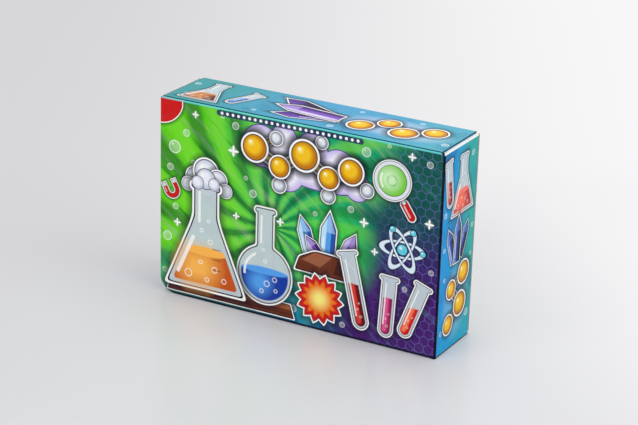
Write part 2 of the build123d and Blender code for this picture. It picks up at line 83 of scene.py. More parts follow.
LIME, LEAF, OLIVE = rgb(92, 208, 22), rgb(8, 96, 34), rgb(150, 186, 14)
EMERALD, TEAL, CYAN = rgb(16, 168, 110), rgb(24, 150, 150), rgb(24, 124, 190)
ROYAL, NAVY, SLATE = rgb(24, 60, 160), rgb(8, 11, 36), rgb(34, 40, 96)
PURPLE, LILAC, RED = rgb(70, 28, 108), rgb(200, 186, 232), rgb(206, 22, 24)
GOLD, PALE_GOLD, AMBER = rgb(248, 196, 30), rgb(255, 236, 130), rgb(196, 120, 14)
ORANGE, BROWN, WINE = rgb(236, 120, 34), rgb(104, 48, 28), rgb(96, 12, 24)
WHITE, GRASS = rgb(252, 251, 248), rgb(50, 190, 24)


# ---- node graphs written as sums ----
class Nodes:
    """Nodes of one tree, added in the order in which they are worked out."""

    def __init__(self, tree):
        self.tree = tree

    def put(self, socket, value):
        if isinstance(value, bpy.types.NodeSocket):
            self.tree.links.new(value, socket)
        else:
            socket.default_value = value

    def node(self, kind, inputs=(), **settings):
        """A shader node; inputs gives values or sockets by number or by name."""
        made = self.tree.nodes.new(f"ShaderNode{kind}")
        for key, value in settings.items():
            setattr(made, key, value)
        for key, value in dict(inputs).items():
            self.put(made.inputs[key], value)
        return made

    def sum(self, operation, *values, clamp=False):
        values += (0.0,) * (3 - len(values))
        return self.node("Math", enumerate(values), operation=operation, use_clamp=clamp).outputs[0]

    def vector(self, operation, *values):
        made = self.node("VectorMath", enumerate(values), operation=operation)
        return made.outputs["Value" if operation in ("DOT_PRODUCT", "DISTANCE") else "Vector"]

    def dot(self, point, *axis):
        return self.vector("DOT_PRODUCT", point, axis)

    def mix(self, factor, a, b):
        return self.node("Mix", {0: factor, 6: a, 7: b}, data_type="RGBA").outputs[2]

    def ramp(self, value, low, high, out_low=0.0, out_high=1.0):
        """Goes smoothly from out_low to out_high while the value goes from low to high."""
        inputs = enumerate((value, low, high, out_low, out_high))
        return self.node("MapRange", inputs, interpolation_type="SMOOTHSTEP").outputs[0]

    def between(self, value, low, high):
        return self.sum("MULTIPLY", self.sum("GREATER_THAN", value, low),
                        self.sum("LESS_THAN", value, high))


class Graph(Nodes):
    """A material; where gives the case's own coordinates in millimetres."""

    def __init__(self, name):
        self.material = bpy.data.materials.new(name)
        self.material.use_nodes = True
        super().__init__(self.material.node_tree)
        self.tree.nodes.clear()
        self.bsdf = self.node("BsdfPrincipled")
        self.output = self.node("OutputMaterial", {"Surface": self.bsdf.outputs[0]})
        inputs = {"Vector": self.node("TexCoord").outputs["Object"], "Scale": (1 / MM,) * 3}
        self.where = self.node("Mapping", inputs, vector_type="POINT").outputs[0]

    def set(self, **values):
        for key, value in values.items():
            self.put(self.bsdf.inputs[key.replace("_", " ")], value)
        return self.material

    def stretched(self, lengths, turn=(0, 0, 0)):
        """Coordinates turned and then counted in the given lengths."""
        inputs = {"Vector": self.where, "Rotation": [radians(a) for a in turn], "Scale": lengths}
        return self.node("Mapping", inputs, vector_type="TEXTURE").outputs[0]

    def noise(self, scale, detail=2.0, rough=0.5, at=None):
        at = self.where if at is None else at
        inputs = {"Vector": at, "Scale": scale, "Detail": detail, "Roughness": rough}
        return self.node("TexNoise", inputs).outputs[0]

    def wash(self, value, low, high, colour, share=1.0):
        """Another colour over the ground, more of it as the value goes from low to high."""
        self.colour = self.mix(self.ramp(value, low, high, 0, share), self.colour, colour)

    def bump(self, height, distance, normal=None):
        """A normal from a height between 0 and 1 that stands for so many millimetres."""
        inputs = {"Distance": distance * MM, "Height": height}
        if normal is not None:
            inputs["Normal"] = normal
        return self.node("Bump", inputs).outputs[0]

    def wave(self, axis):
        """The flutes' rise and fall across an axis, from 0 to 1."""
        turn = self.sum("MULTIPLY", self.dot(self.where, *axis), 2 * pi / FLUTE)
        return self.sum("MULTIPLY_ADD", self.sum("SINE", turn), 0.5, 0.5)


class Canvas:
    """Flat shapes laid over each other; p is (across, up, 1). soft is an edge's width. A shape
    is its distance from the outline, below 0 inside."""

    soft = 0.25

    def disc(self, x, y, r):
        return self.sum("SUBTRACT", self.vector("DISTANCE", self.p, (x, y, 1)), r)

    def band(self, d, width):
        """A line along a shape's outline."""
        return self.sum("SUBTRACT", self.sum("ABSOLUTE", d), width / 2)

    def ring(self, x, y, r, width):
        return self.band(self.disc(x, y, r), width)

    def oval(self, x, y, rx, ry, turn=0.0):
        c, s, small = cos(radians(turn)), sin(radians(turn)), min(rx, ry)
        a = self.dot(self.p, c / rx, s / rx, -(c * x + s * y) / rx)
        b = self.dot(self.p, -s / ry, c / ry, (s * x - c * y) / ry)
        squares = self.sum("MULTIPLY_ADD", a, a, self.sum("MULTIPLY", b, b))
        return self.sum("MULTIPLY_ADD", self.sum("SQRT", squares), small, -small)

    def pill(self, ax, ay, bx, by, r):
        run = Vector((bx - ax, by - ay, 0))
        n = run / run.length_squared
        share = self.dot(self.p, n.x, n.y, -(n.x * ax + n.y * ay))
        share = self.sum("ADD", share, clamp=True)
        near = self.node("VectorMath", {0: run, "Scale": share}, operation="SCALE").outputs[0]
        start = self.vector("ADD", near, (ax, ay, 1))
        return self.sum("SUBTRACT", self.vector("DISTANCE", self.p, start), r)

    def plane(self, x, y, angle):
        """Below 0 behind a line through a point; the angle is that of its outward normal."""
        c, s = cos(radians(angle)), sin(radians(angle))
        return self.dot(self.p, c, s, -(c * x + s * y))

    def poly(self, points, rounding=0.0):
        """A convex outline, its points anticlockwise."""
        total, *sides = [self.plane(ax, ay, degrees(atan2(by - ay, bx - ax)) - 90)
                         for (ax, ay), (bx, by) in zip(points, points[1:] + points[:1])]
        for side in sides:
            total = self.sum("SMOOTH_MAX" if rounding else "MAXIMUM", total, side, rounding)
        return total

    def box(self, x0, y0, x1, y1, rounding=0.0):
        return self.poly([(x0, y0), (x1, y0), (x1, y1), (x0, y1)], rounding)

    def polar(self, x, y):
        """Angle and distance as seen from a point."""
        split = self.node("SeparateXYZ", {0: self.vector("SUBTRACT", self.p, (x, y, 0))}).outputs
        return self.sum("ARCTAN2", split[1], split[0]), self.vector("DISTANCE", self.p, (x, y, 1))

    def burst(self, low, high, points):
        """A star about the origin whose outline runs between two radii."""
        angle, far = self.polar(0, 0)
        wave = self.sum("PINGPONG", self.sum("MULTIPLY_ADD", angle, points / pi), 1.0)
        return self.sum("SUBTRACT", far, self.sum("MULTIPLY_ADD", wave, low - high, high))

    def both(self, a, b):
        return self.sum("MAXIMUM", a, b)

    def either(self, total, *ds):
        for d in ds:
            total = self.sum("MINIMUM", total, d)
        return total

    def lay(self, d, colour, grow=0.0, soft=None, share=1.0):
        soft = soft or self.soft
        mask = self.sum("MULTIPLY_ADD", d, -1 / soft, 0.5 + grow / soft, clamp=True)
        if share != 1.0:
            mask = self.sum("MULTIPLY", mask, share)
        self.colour = self.mix(mask, self.colour, colour)

    def halo(self, d, line, rim):
        self.lay(d, NAVY, grow=line + 3 * rim, soft=4 * rim, share=0.75)

    def lined(self, d, colour, line=0.8, rim=0.0, line_colour=NAVY):
        """A shape with a dark outline and, outside that, a light one over a dark halo."""
        if rim:
            self.halo(d, line, rim)
            self.lay(d, WHITE, grow=line + rim)
        self.lay(d, line_colour, grow=line)
        self.lay(d, colour)

    def glass(self, d, line, rim):
        """A see-through vessel: the ground shows faintly inside its outline."""
        self.halo(d, line, rim)
        for middle, width, colour in ((line + rim / 2, rim, WHITE), (line / 2, line, NAVY)):
            self.lay(self.band(self.sum("SUBTRACT", d, middle), width), colour)
        self.lay(d, rgb(230, 243, 250), share=0.66)

    def glint(self, ax, ay, bx, by, r, share=0.85):
        self.lay(self.pill(ax, ay, bx, by, r), WHITE, share=share)

    def arc(self, x, r, width, share):
        """A glint round the lit side of a bulb or a lens."""
        part = self.both(self.ring(0, 0, r, width), self.plane(x, 0, 0))
        self.lay(self.both(part, self.plane(0, -0.1, -90)), WHITE, share=share)

    def fizz(self, spots, width, share):
        for x, y, r in spots:
            self.lay(self.ring(x, y, r, width), WHITE, share=share)


class Stamp(Nodes, Canvas):
    """A motif drawn once, in its own group, and then laid down wherever it is wanted."""

    kept = {}

    @classmethod
    def made(cls, draw, count, shape):
        key = (draw.__name__, tuple(sorted(shape.items())))
        if key not in cls.kept:
            tree = bpy.data.node_groups.new(draw.__name__, "ShaderNodeTree")
            inputs = [("Place", "Vector")] + [(f"Colour {k}", "Color") for k in range(count + 1)]
            for name, kind in inputs:
                tree.interface.new_socket(name, in_out="INPUT", socket_type=f"NodeSocket{kind}")
            tree.interface.new_socket("Colour", in_out="OUTPUT", socket_type="NodeSocketColor")
            stamp = cls(tree)
            stamp.p, stamp.colour, *colours = tree.nodes.new("NodeGroupInput").outputs[:2 + count]
            draw(stamp, *colours, **shape)
            tree.links.new(stamp.colour, tree.nodes.new("NodeGroupOutput").inputs[0])
            cls.kept[key] = tree
        return cls.kept[key]


def ball(c, dark, mid, light, rim=0.0):
    c.soft = 0.04
    c.lined(c.disc(0, 0, 1), dark, line=0.08, rim=rim)
    c.lay(c.disc(-0.1, 0.1, 0.72), mid, soft=0.42)
    c.lay(c.disc(-0.34, 0.36, 0.2), light, soft=0.3)
    c.lay(c.disc(-0.4, 0.44, 0.1), WHITE, soft=0.1)


def bubble(c, colour, share=0.7):
    c.soft = 0.12
    c.lay(c.disc(0, 0, 0.9), colour, soft=0.5, share=0.3 * share)
    c.lay(c.ring(0, 0, 1, 0.2), colour, share=share)
    c.lay(c.disc(-0.4, 0.4, 0.16), WHITE, soft=0.2, share=share)


def bond(c, dark, mid, rim=0.0):
    """Between two atoms; counted in its own length and half width."""
    c.soft = 0.1
    ends = c.both(c.plane(1, 0, 0), c.plane(0, 0, 180))
    side = c.both(c.band(c.dot(c.p, 0, 1, 0), 2), c.sum("MULTIPLY", ends, 20.0))
    c.lined(side, dark, line=0.22, rim=rim)
    c.lay(side, mid, grow=-0.5, soft=0.7)


def tube(c, dark, light, length=9.0, level=0.5, tilt=0.0):
    """A test tube counted in its radius, foot at the origin; the liquid lies level."""
    c.soft = 0.06
    body = c.both(c.pill(0, 0, 0, length, 1), c.plane(0, length, 90))
    c.glass(c.either(body, c.pill(-1.2, length, 1.2, length, 0.22)), line=0.08, rim=0.2)
    fill = c.both(c.pill(0, 0, 0, length, 0.74), c.plane(0, length * level, 90 - tilt))
    c.lay(fill, dark)
    c.lay(c.both(c.pill(-0.2, 0, -0.2, length, 0.34), fill), light, soft=0.4)
    c.glint(-0.46, 0.8, -0.46, length - 0.9, 0.1)
    c.fizz(((0.2, 0.6, 0.16), (-0.1, 1.7, 0.12), (0.3, 2.5, 0.1)), 0.06, 0.7)


def flask(c, dark, light):
    """A cone flask 100 high, its middle at the origin."""
    c.soft = 0.4
    body = c.poly([(-40, -50), (40, -50), (11, 17), (-11, 17)], 7.0)
    neck = c.sum("SMOOTH_MIN", body, c.box(-11, 8, 11, 48), 6.0)
    whole = c.either(neck, c.pill(-12, 48, 12, 48, 2))
    c.glass(whole, line=1.2, rim=2.0)
    inner = c.sum("ADD", body, 3.4)
    fill = c.both(inner, c.plane(0, -14, 90))
    c.lay(fill, dark)
    c.lay(c.both(c.disc(-8, -30, 19), fill), light, soft=24)
    c.lay(c.both(c.oval(0, -14, 23, 4.4), inner), light)
    c.fizz(((-18, -38, 3.6), (10, -30, 2.7), (2, -41, 2), (20, -39, 2.3), (-5, -25, 1.8),
            (5, -4, 2.2), (-4, 6, 1.7), (3, 16, 1.4)), 0.9, 0.75)
    c.glint(-29, -38, -13, -2, 1.9)
    c.glint(-6.5, 14, -6.5, 42, 1.3)
    for y in (-30, -20, -10):
        c.lay(c.pill(8, y, 16, y, 0.5), NAVY, share=0.6)


def round_flask(c, dark, light):
    """A round flask with a bulb of radius 1."""
    c.soft = 0.03
    whole = c.either(c.sum("SMOOTH_MIN", c.disc(0, 0, 1), c.box(-0.27, 0, 0.27, 2.3), 0.16),
                     c.pill(-0.3, 2.3, 0.3, 2.3, 0.06))
    c.glass(whole, line=0.035, rim=0.06)
    inner = c.disc(0, 0, 0.92)
    fill = c.both(inner, c.plane(0, 0.15, 90))
    c.lay(fill, dark)
    c.lay(c.both(c.disc(-0.2, -0.3, 0.4), fill), light, soft=0.5)
    c.lay(c.both(c.oval(0, 0.15, 0.9, 0.13), inner), light)
    c.fizz(((0.1, -0.3, 0.1), (0.4, -0.1, 0.08), (-0.1, -0.6, 0.07), (0.45, -0.5, 0.06),
            (0.02, 0.5, 0.06), (-0.06, 0.9, 0.05)), 0.03, 0.75)
    c.arc(-0.35, 0.78, 0.09, 0.85)
    c.glint(-0.15, 1.15, -0.15, 2.1, 0.035)


def crystal(c, dark, mid, light, width=26.0):
    """A pointed crystal 100 high, its middle at the origin."""
    c.soft = 0.5
    w = width / 2
    whole = c.poly([(-w, -50), (w, -50), (w, 24), (0, 50), (-w, 24)])
    c.lined(whole, mid, line=1.4, rim=2.0)
    c.lay(c.both(c.plane(-0.3 * w, 0, 0), whole), light)
    c.lay(c.both(c.plane(0.42 * w, 0, 180), whole), dark)
    c.lay(c.both(c.poly([(-w, 18), (w, 18), (0, 50)]), whole), light, share=0.45)
    c.glint(-0.66 * w, -38, -0.66 * w, 8, 0.9, 0.8)


def atom(c, line, core):
    """Three orbits of radius 1 about a core."""
    c.soft = 0.02
    spots = []
    for turn in (0, 60, 120):
        edge = c.band(c.oval(0, 0, 1, 0.36, turn), 0.09)
        c.lay(edge, NAVY, grow=0.03)
        c.lay(edge, line)
        spots.append((cos(radians(turn)), sin(radians(turn)), 0.13))
    for x, y, r in spots + [(0, 0, 0.24)]:
        c.lined(c.disc(x, y, r), core, line=0.03)
        c.lay(c.disc(x - 0.3 * r, y + 0.3 * r, 0.25 * r), WHITE, soft=0.5 * r)


def badge(c, rim, middle, heart):
    """A many-pointed burst of radius 1."""
    c.soft = 0.03
    c.lined(c.burst(0.78, 1.0, 14), rim, line=0.035, rim=0.08)
    c.lay(c.burst(0.56, 0.78, 14), middle, soft=0.12)
    c.lay(c.disc(0, 0, 0.36), heart, soft=0.4)


def magnifier(c, rim, lens, grip):
    """A magnifying glass with a lens of radius 1, its handle hanging down."""
    c.soft = 0.03
    c.lined(c.pill(0, -1.5, 0, -2.35, 0.2), grip, line=0.035, rim=0.06)
    c.glint(-0.08, -1.6, -0.08, -2.3, 0.05, 0.5)
    c.lined(c.pill(0, -1.1, 0, -1.4, 0.12), rim, line=0.03)
    c.lined(c.disc(0, 0, 1.14), rim, line=0.035, rim=0.06)
    c.lined(c.disc(0, 0, 0.9), lens, line=0.035)
    c.lay(c.disc(-0.1, 0.16, 0.6), rgb(226, 250, 214), soft=0.7, share=0.8)
    c.arc(-0.3, 0.72, 0.1, 0.9)
    for turn in (20, 140, 260):
        c.lay(c.both(c.ring(0, 0, 0.3, 0.09), c.plane(0, 0, turn)), GRASS, soft=0.08, share=0.35)


def magnet(c, body, tip):
    """A horseshoe magnet of radius 1, open to the top."""
    c.soft = 0.05
    legs = c.either(c.box(-1, 0, -0.5, 1.1), c.box(0.5, 0, 1, 1.1))
    whole = c.either(legs, c.both(c.ring(0, 0, 0.75, 0.5), c.plane(0, 0, 90)))
    c.lined(whole, body, line=0.06, rim=0.1)
    c.lay(c.both(whole, c.plane(0, 0.7, -90)), tip)
    c.glint(-0.84, 0, -0.84, 0.55, 0.05, 0.7)


def sparkle(c, colour):
    """A four-pointed glint of radius 1."""
    c.soft = 0.08
    c.lay(c.disc(0, 0, 0.5), colour, soft=0.8, share=0.4)
    c.lay(c.burst(0.1, 1.0, 4), colour)


REACH = {flask: 68, crystal: 56, magnifier: 2.8, round_flask: 2.5, magnet: 2, bond: 1.1}


class Print(Graph, Canvas):
    """One zone of a printed face."""

    def __init__(self, name, face, zone):
        super().__init__(name)
        self.face, self.zone, self.colour = face, zone, WHITE
        across, up = (self.sum("ADD", self.dot(self.where, *axis), start)
                      for axis, start in zip((face.along, face.up), face.start))
        self.p = self.node("CombineXYZ", enumerate((across, up, 1.0))).outputs[0]
        self.u, self.v = self.dot(self.p, *X), self.dot(self.p, *Y)

    def near(self, x, y, reach):
        """Whether a circle comes into this zone."""
        u0, v0, u1, v1 = self.zone
        return hypot(max(u0 - x, 0, x - u1), max(v0 - y, 0, y - v1)) < reach + 5

    def stamp(self, draw, x, y, scale, colours, turn=0.0, reach=None, across=None, **shape):
        """Lays a motif down; reach is how far it goes, counted in its scale."""
        wide = across or scale
        if not self.near(x, y, (reach or REACH.get(draw, 1.3)) * max(scale, wide)):
            return
        place = self.p
        if turn:
            inputs = {"Vector": place, "Center": (x, y, 0), "Angle": -radians(turn)}
            place = self.node("VectorRotate", inputs, rotation_type="Z_AXIS").outputs[0]
        place = self.vector("MULTIPLY_ADD", place, (1 / wide, 1 / scale, 1),
                            (-x / wide, -y / scale, 0))
        tree = Stamp.made(draw, len(colours), shape)
        inputs = enumerate((place, self.colour, *colours))
        self.colour = self.node("Group", inputs, node_tree=tree).outputs[0]

    def stamps(self, draw, colours, spots, **shape):
        for x, y, r in spots:
            self.stamp(draw, x, y, r, colours, **shape)

    def tube(self, x, y, r, colours, turn, reach=9, length=7.0, level=0.5):
        self.stamp(tube, x, y, r, colours, turn, reach, length=length, level=level, tilt=turn)

    def crystals(self, *grown):
        for x, y, scale, colours, turn, width in grown:
            self.stamp(crystal, x, y, scale, colours, turn, width=width)

    def molecule(self, atoms, width, joins=None, rim=0.16):
        """Atoms as (x, y, radius, colours), joined in pairs or else in a row."""
        for a, b in joins or [(k, k + 1) for k in range(len(atoms) - 1)]:
            (ax, ay, *_), (bx, by, *_) = atoms[a], atoms[b]
            self.stamp(bond, ax, ay, width, (AMBER, PALE_GOLD), degrees(atan2(by - ay, bx - ax)),
                       across=hypot(bx - ax, by - ay), rim=0.45)
        for x, y, r, colours in atoms:
            self.stamp(ball, x, y, r, colours, rim=rim)

    def hexes(self, pitch, colour, share, where=None):
        """A light lattice of hexagons."""
        step, line, soft = (pitch, pitch * 3 ** 0.5, 1), 0.5, 0.3
        spots = []
        for shift in ((0, 0, 0), (step[0] / 2, step[1] / 2, 0)):
            moved = self.vector("ADD", self.p, tuple(s + 9 * t for s, t in zip(shift, step)))
            rest = self.vector("MODULO", moved, step)
            away = self.vector("SUBTRACT", rest, (step[0] / 2, step[1] / 2, 0))
            flat = self.vector("ABSOLUTE", self.vector("MULTIPLY", away, (1, 1, 0)))
            spots.append(self.sum("MAXIMUM", self.dot(flat, 0.5, 0.75 ** 0.5, 0),
                                  self.dot(flat, 1, 0, 0)))
        mask = self.sum("MULTIPLY_ADD", self.sum("MINIMUM", *spots), 1 / soft,
                        -(pitch / 2 - line) / soft, clamp=True)
        mask = self.sum("MULTIPLY", mask, share)
        if where is not None:
            mask = self.sum("MULTIPLY", mask, where)
        self.colour = self.mix(mask, self.colour, colour)

    def finish(self):
        """Gloss film over the print, with the flutes showing through as a washboard."""
        self.wash(self.noise(0.06, 3.0), 0.35, 0.75, WHITE, 0.01)
        normal = None
        for height, depth in ((self.wave(self.face.flutes), 0.09), (self.noise(0.013, 1.0), 0.9),
                              (self.noise(0.9, 3.0), 0.012)):
            normal = self.bump(height, depth, normal)
        rough = self.ramp(self.noise(0.03, 4.0), 0.3, 0.75, 0.18, 0.32)
        return self.set(Base_Color=self.colour, Roughness=rough, Normal=normal, IOR=1.13,
                        Specular_IOR_Level=0.4, Coat_Weight=0.04, Coat_Roughness=0.1)


class Face:
    """A printed face cut in zones, each with a material that holds only what is drawn there."""

    def __init__(self, name, along, up, start, size, counts, flutes, draw, turn_axis=0):
        self.along, self.up, self.start, self.size = along, up, start, size
        self.counts, self.flutes, self.turn_axis = counts, flutes, turn_axis
        self.materials = []
        wide, high = size[0] / counts[0], size[1] / counts[1]
        for j in range(counts[1]):
            for i in range(counts[0]):
                zone = (i * wide, j * high, (i + 1) * wide, (j + 1) * high)
                zone_print = Print(f"{name}_print_{i}_{j}", self, zone)
                draw(zone_print)
                self.materials.append(zone_print.finish())

    def slot(self, point):
        place = []
        for k, axis in enumerate((self.along, self.up)):
            share = (Vector(axis).dot(point) + self.start[k]) / self.size[k]
            place.append(min(self.counts[k] - 1, max(0, int(share * self.counts[k]))))
        return place[1] * self.counts[0] + place[0]


# ---- what is printed on each face ----
GOLDEN, SILVER = (AMBER, GOLD, PALE_GOLD), (rgb(150, 158, 176), rgb(232, 236, 242), WHITE)
SEA = (rgb(38, 84, 176), rgb(84, 158, 230), rgb(190, 228, 252))
PLUM = (rgb(70, 40, 120), rgb(128, 84, 190), LILAC)
FOAM = (rgb(196, 202, 222), rgb(238, 240, 248), WHITE)
RUBY = (WINE, rgb(226, 60, 52))


def atoms(colours, *spots):
    return [(*spot, colours) for spot in spots]


def front_ground(p):
    """Lime on the left through emerald to slate and purple, cyan below, in slanting strokes."""
    warp = p.noise(0.016, 3.0)
    turn = [0, 0, 0]
    turn[p.face.turn_axis] = 38
    strokes = p.noise(1.0, 4.0, 0.6, at=p.stretched((80.0, 9.0, 9.0), turn))
    across = p.sum("MULTIPLY_ADD", warp, 70.0, p.u)
    p.colour = p.mix(p.ramp(across, 80, 215), LIME, EMERALD)
    p.wash(strokes, 0.5, 0.7, OLIVE, 0.75)
    p.wash(strokes, 0.5, 0.3, LEAF, 0.75)
    angle, far = p.polar(126, 92)
    twist = p.sum("MULTIPLY_ADD", far, 0.05, p.sum("MULTIPLY", angle, 15.0))
    rays = p.sum("SINE", p.sum("MULTIPLY_ADD", warp, 2.0, twist))
    p.wash(rays, 0.0, 0.9, rgb(140, 236, 60), 0.4)
    p.wash(rays, 0.0, -0.9, rgb(4, 70, 40), 0.6)
    low = p.sum("MULTIPLY_ADD", warp, 60.0, p.v)
    p.wash(low, 88, 30, p.mix(p.ramp(across, 60, 220), TEAL, CYAN), 0.85)
    dusk = p.sum("MULTIPLY_ADD", p.v, -0.3, across)
    p.wash(dusk, 196, 250, p.mix(p.ramp(low, 110, 190), SLATE, rgb(12, 84, 74)))
    corner = p.sum("MULTIPLY", p.ramp(dusk, 214, 268), p.ramp(p.v, 130, 50))
    p.colour = p.mix(corner, p.colour, PURPLE)
    p.wash(strokes, 0.52, 0.74, rgb(110, 190, 214), 0.25)


BUBBLES = (
    (17, 152, 6), (30, 168, 3.4), (12, 131, 3.2), (38, 140, 2.4), (84, 185, 3.4), (70, 192, 2.0),
    (18, 92, 3.0), (9, 60, 4.4), (104, 122, 3.6), (96, 136, 2.0), (208, 128, 3.0), (222, 186, 4.2),
    (286, 186, 3.0), (150, 16, 3.4), (292, 84, 2.4), (171, 116, 2.2), (203, 12, 2.6),
    (266, 62, 2.4), (124, 150, 1.8), (245, 196, 1.8), (6, 24, 2.6), (110, 12, 2.2),
)


def front_print(p):
    front_ground(p)
    p.hexes(9.0, rgb(112, 120, 196), 0.45, p.ramp(p.u, 216, 268))
    if p.near(190, 84, 60):
        p.lay(p.disc(190, 84, 34), rgb(60, 224, 60), soft=40, share=0.6)
    p.stamps(bubble, (WHITE,), BUBBLES, share=0.7)
    if p.near(158, 162, 66):
        puffs = ((112, 171, 20), (136, 181, 14), (166, 177, 16), (194, 163, 19), (140, 150, 18),
                 (214, 150, 13))
        cloud = p.either(p.oval(158, 160, 62, 19, -8), *(p.disc(*puff) for puff in puffs))
        p.lined(cloud, LILAC, line=1.0, line_colour=rgb(84, 66, 146))
        p.lay(cloud, rgb(240, 236, 250), grow=-4, soft=7)
    chain = atoms(GOLDEN, (105, 168, 12), (132, 154, 9.5), (158, 170, 13), (184, 153, 9.5),
                  (207, 164, 11))
    twigs = atoms(SILVER, (128, 181, 6), (132, 136, 6.5), (176, 186, 5.5), (184, 136, 6.5),
                  (224, 149, 6))
    p.molecule(chain + twigs, 2.4, [(k, k + 5) for k in range(5)])
    p.molecule(chain, 3.4)
    if p.near(76, 12, 84):
        bench = p.poly([(10, 6), (150, 6), (146, 18), (14, 18)], 2.0)
        p.lined(bench, BROWN, line=1.0, rim=1.0)
        p.lay(p.both(bench, p.plane(0, 13.4, -90)), rgb(158, 92, 52), soft=0.6)
        p.lay(p.both(bench, p.band(p.plane(0, 9, 90), 0.8)), NAVY, share=0.6)
    p.stamp(round_flask, 118, 43, 28, (ROYAL, rgb(84, 160, 236)))
    p.stamps(ball, FOAM, ((40, 126, 9), (52, 133, 12), (65, 127, 9), (74, 118, 6), (32, 118, 6),
                          (52, 121, 9)), rim=0.14)
    p.stamp(flask, 52, 67, 1.06, (rgb(200, 84, 26), rgb(255, 184, 84)))
    p.stamps(ball, FOAM, ((52, 126, 10), (43, 121, 6.5), (61, 122, 6)))
    p.crystals((163, 88, 0.46, SEA, 18, 27.0), (205, 84, 0.42, PLUM, -24, 30.0),
               (185, 90, 0.58, SEA, -3, 25.0), (173, 79, 0.34, PLUM, 40, 30.0))
    if p.near(184, 64, 40):
        rock = p.poly([(152, 58), (216, 56), (212, 70), (196, 77), (172, 78), (156, 70)], 3.0)
        p.lined(rock, BROWN, line=1.0, rim=1.2)
        for facet, tone in (([(158, 68), (178, 64), (190, 76), (172, 78)], rgb(156, 92, 62)),
                            ([(192, 60), (214, 58), (210, 70), (196, 74)], rgb(70, 30, 22))):
            p.lay(p.both(rock, p.poly(facet)), tone, soft=1.0)
    p.stamp(badge, 178, 32, 24, (RED, ORANGE, PALE_GOLD))
    p.stamp(magnifier, 249, 164, 16, (rgb(226, 230, 238), rgb(120, 206, 60), RED), 34)
    p.stamp(atom, 262, 100, 21, (rgb(220, 236, 250), rgb(96, 206, 226)))
    p.tube(222, 20, 7, RUBY, 14, 11.5, 9.5, 0.55)
    p.tube(248, 18, 6.4, (rgb(150, 30, 84), rgb(232, 92, 150)), -3, 11.5, 8.0, 0.62)
    p.tube(268, 22, 6.2, (RED, rgb(255, 126, 84)), -20, 11.5, 8.0)
    p.stamp(magnet, 14, 108, 8, (RED, rgb(214, 220, 226)), 28)
    p.stamps(sparkle, (WHITE,), ((82, 160, 6), (222, 118, 5), (268, 190, 4.4), (288, 130, 5),
                                 (134, 100, 4.4), (40, 188, 4), (234, 92, 4), (20, 76, 4.4),
                                 (86, 96, 4)))
    if p.near(0, 200, 30):
        p.lined(p.both(p.disc(0, 200, 26), p.plane(25, 0, 0)), RED, line=0.0, rim=1.0)
    if p.near(142, 195, 76):
        row = p.vector("MODULO", p.vector("SUBTRACT", p.p, (0, 192.2, 0)), (6.0, 400, 9))
        dot = p.sum("SUBTRACT", p.vector("DISTANCE", row, (3.0, 2.6, 1)), 1.5)
        p.lay(p.pill(66, 194.8, 216, 194.8, 2.9), SLATE, soft=0.5, share=0.9)
        p.lay(p.both(p.box(66, 192, 216, 198), dot), WHITE)
    # painted shade: a dark line along the bottom fold, whose rounded bevel faces down into shade
    p.lay(p.plane(0, 2.8, 90), NAVY, soft=0.9)
    # painted highlight: a light cyan line along the top fold, where the rounded crease catches the
    # light
    p.lay(p.plane(0, 198.0, -90), rgb(104, 214, 214), soft=1.0, share=0.85)
    # painted shade: a dark line down the fold to the right end
    p.lay(p.plane(298.5, 0, 180), NAVY, soft=0.6)
    # painted shade: dark dots at both ends of that fold stand for the shaded relief holes at the
    # closure's corners
    for v in (0.6, 199.2):
        p.lay(p.disc(298.6, v, 1.7), NAVY)


def end_print(p):
    """Both ends carry the same print, with painted shade along one upright edge and the bottom
    edge; the top edge keeps a white margin.
    """
    warp = p.noise(0.02, 3.0)
    across = p.sum("MULTIPLY_ADD", warp, 30.0, p.u)
    p.colour = p.mix(p.ramp(across, 25, 80), rgb(0, 150, 218), rgb(36, 172, 164))
    p.wash(p.sum("MULTIPLY_ADD", warp, 60.0, p.v), 90, 30, rgb(10, 162, 212), 0.6)
    p.wash(p.noise(0.03, 4.0, 0.6), 0.5, 0.72, rgb(0, 92, 142), 0.7)
    p.stamps(bubble, (WHITE,), ((60, 184, 2.6), (8, 138, 2.4), (66, 112, 2.4), (9, 104, 2.0),
                                (62, 26, 3.4), (10, 22, 2.4), (12, 74, 2.0), (65, 84, 1.8)),
             share=0.7)
    p.stamp(flask, 42, 160, 0.54, (rgb(186, 36, 40), rgb(255, 120, 96)))
    p.tube(16, 150, 5.4, RUBY, 10)
    shades = (NAVY, rgb(34, 54, 130), rgb(96, 140, 216))
    p.crystals((23, 104, 0.36, shades, 22, 30.0), (49, 104, 0.34, shades, -24, 30.0),
               (36, 107, 0.44, shades, -2, 26.0))
    if p.near(38, 46, 45):
        p.lay(p.oval(38, 46, 24, 34, -8), rgb(150, 190, 226), soft=9, share=0.4)
    p.molecule(atoms(GOLDEN, (52, 70, 10), (27, 60, 8), (47, 40, 10.5), (24, 26, 8.5)), 3.0)
    # painted shade: dark lines down the edge at u = 0, which on the right end is the fold to the
    # front, and along the bottom edge, where the closure's foot lies in shade; the white strip at
    # the top is the margin
    for x, y, turn, colour, soft in ((2.4, 0, 0, NAVY, 0.8), (0, 1.6, 90, NAVY, 0.7),
                                     (0, 197.3, -90, WHITE, 0.3)):
        p.lay(p.plane(x, y, turn), colour, soft=soft)


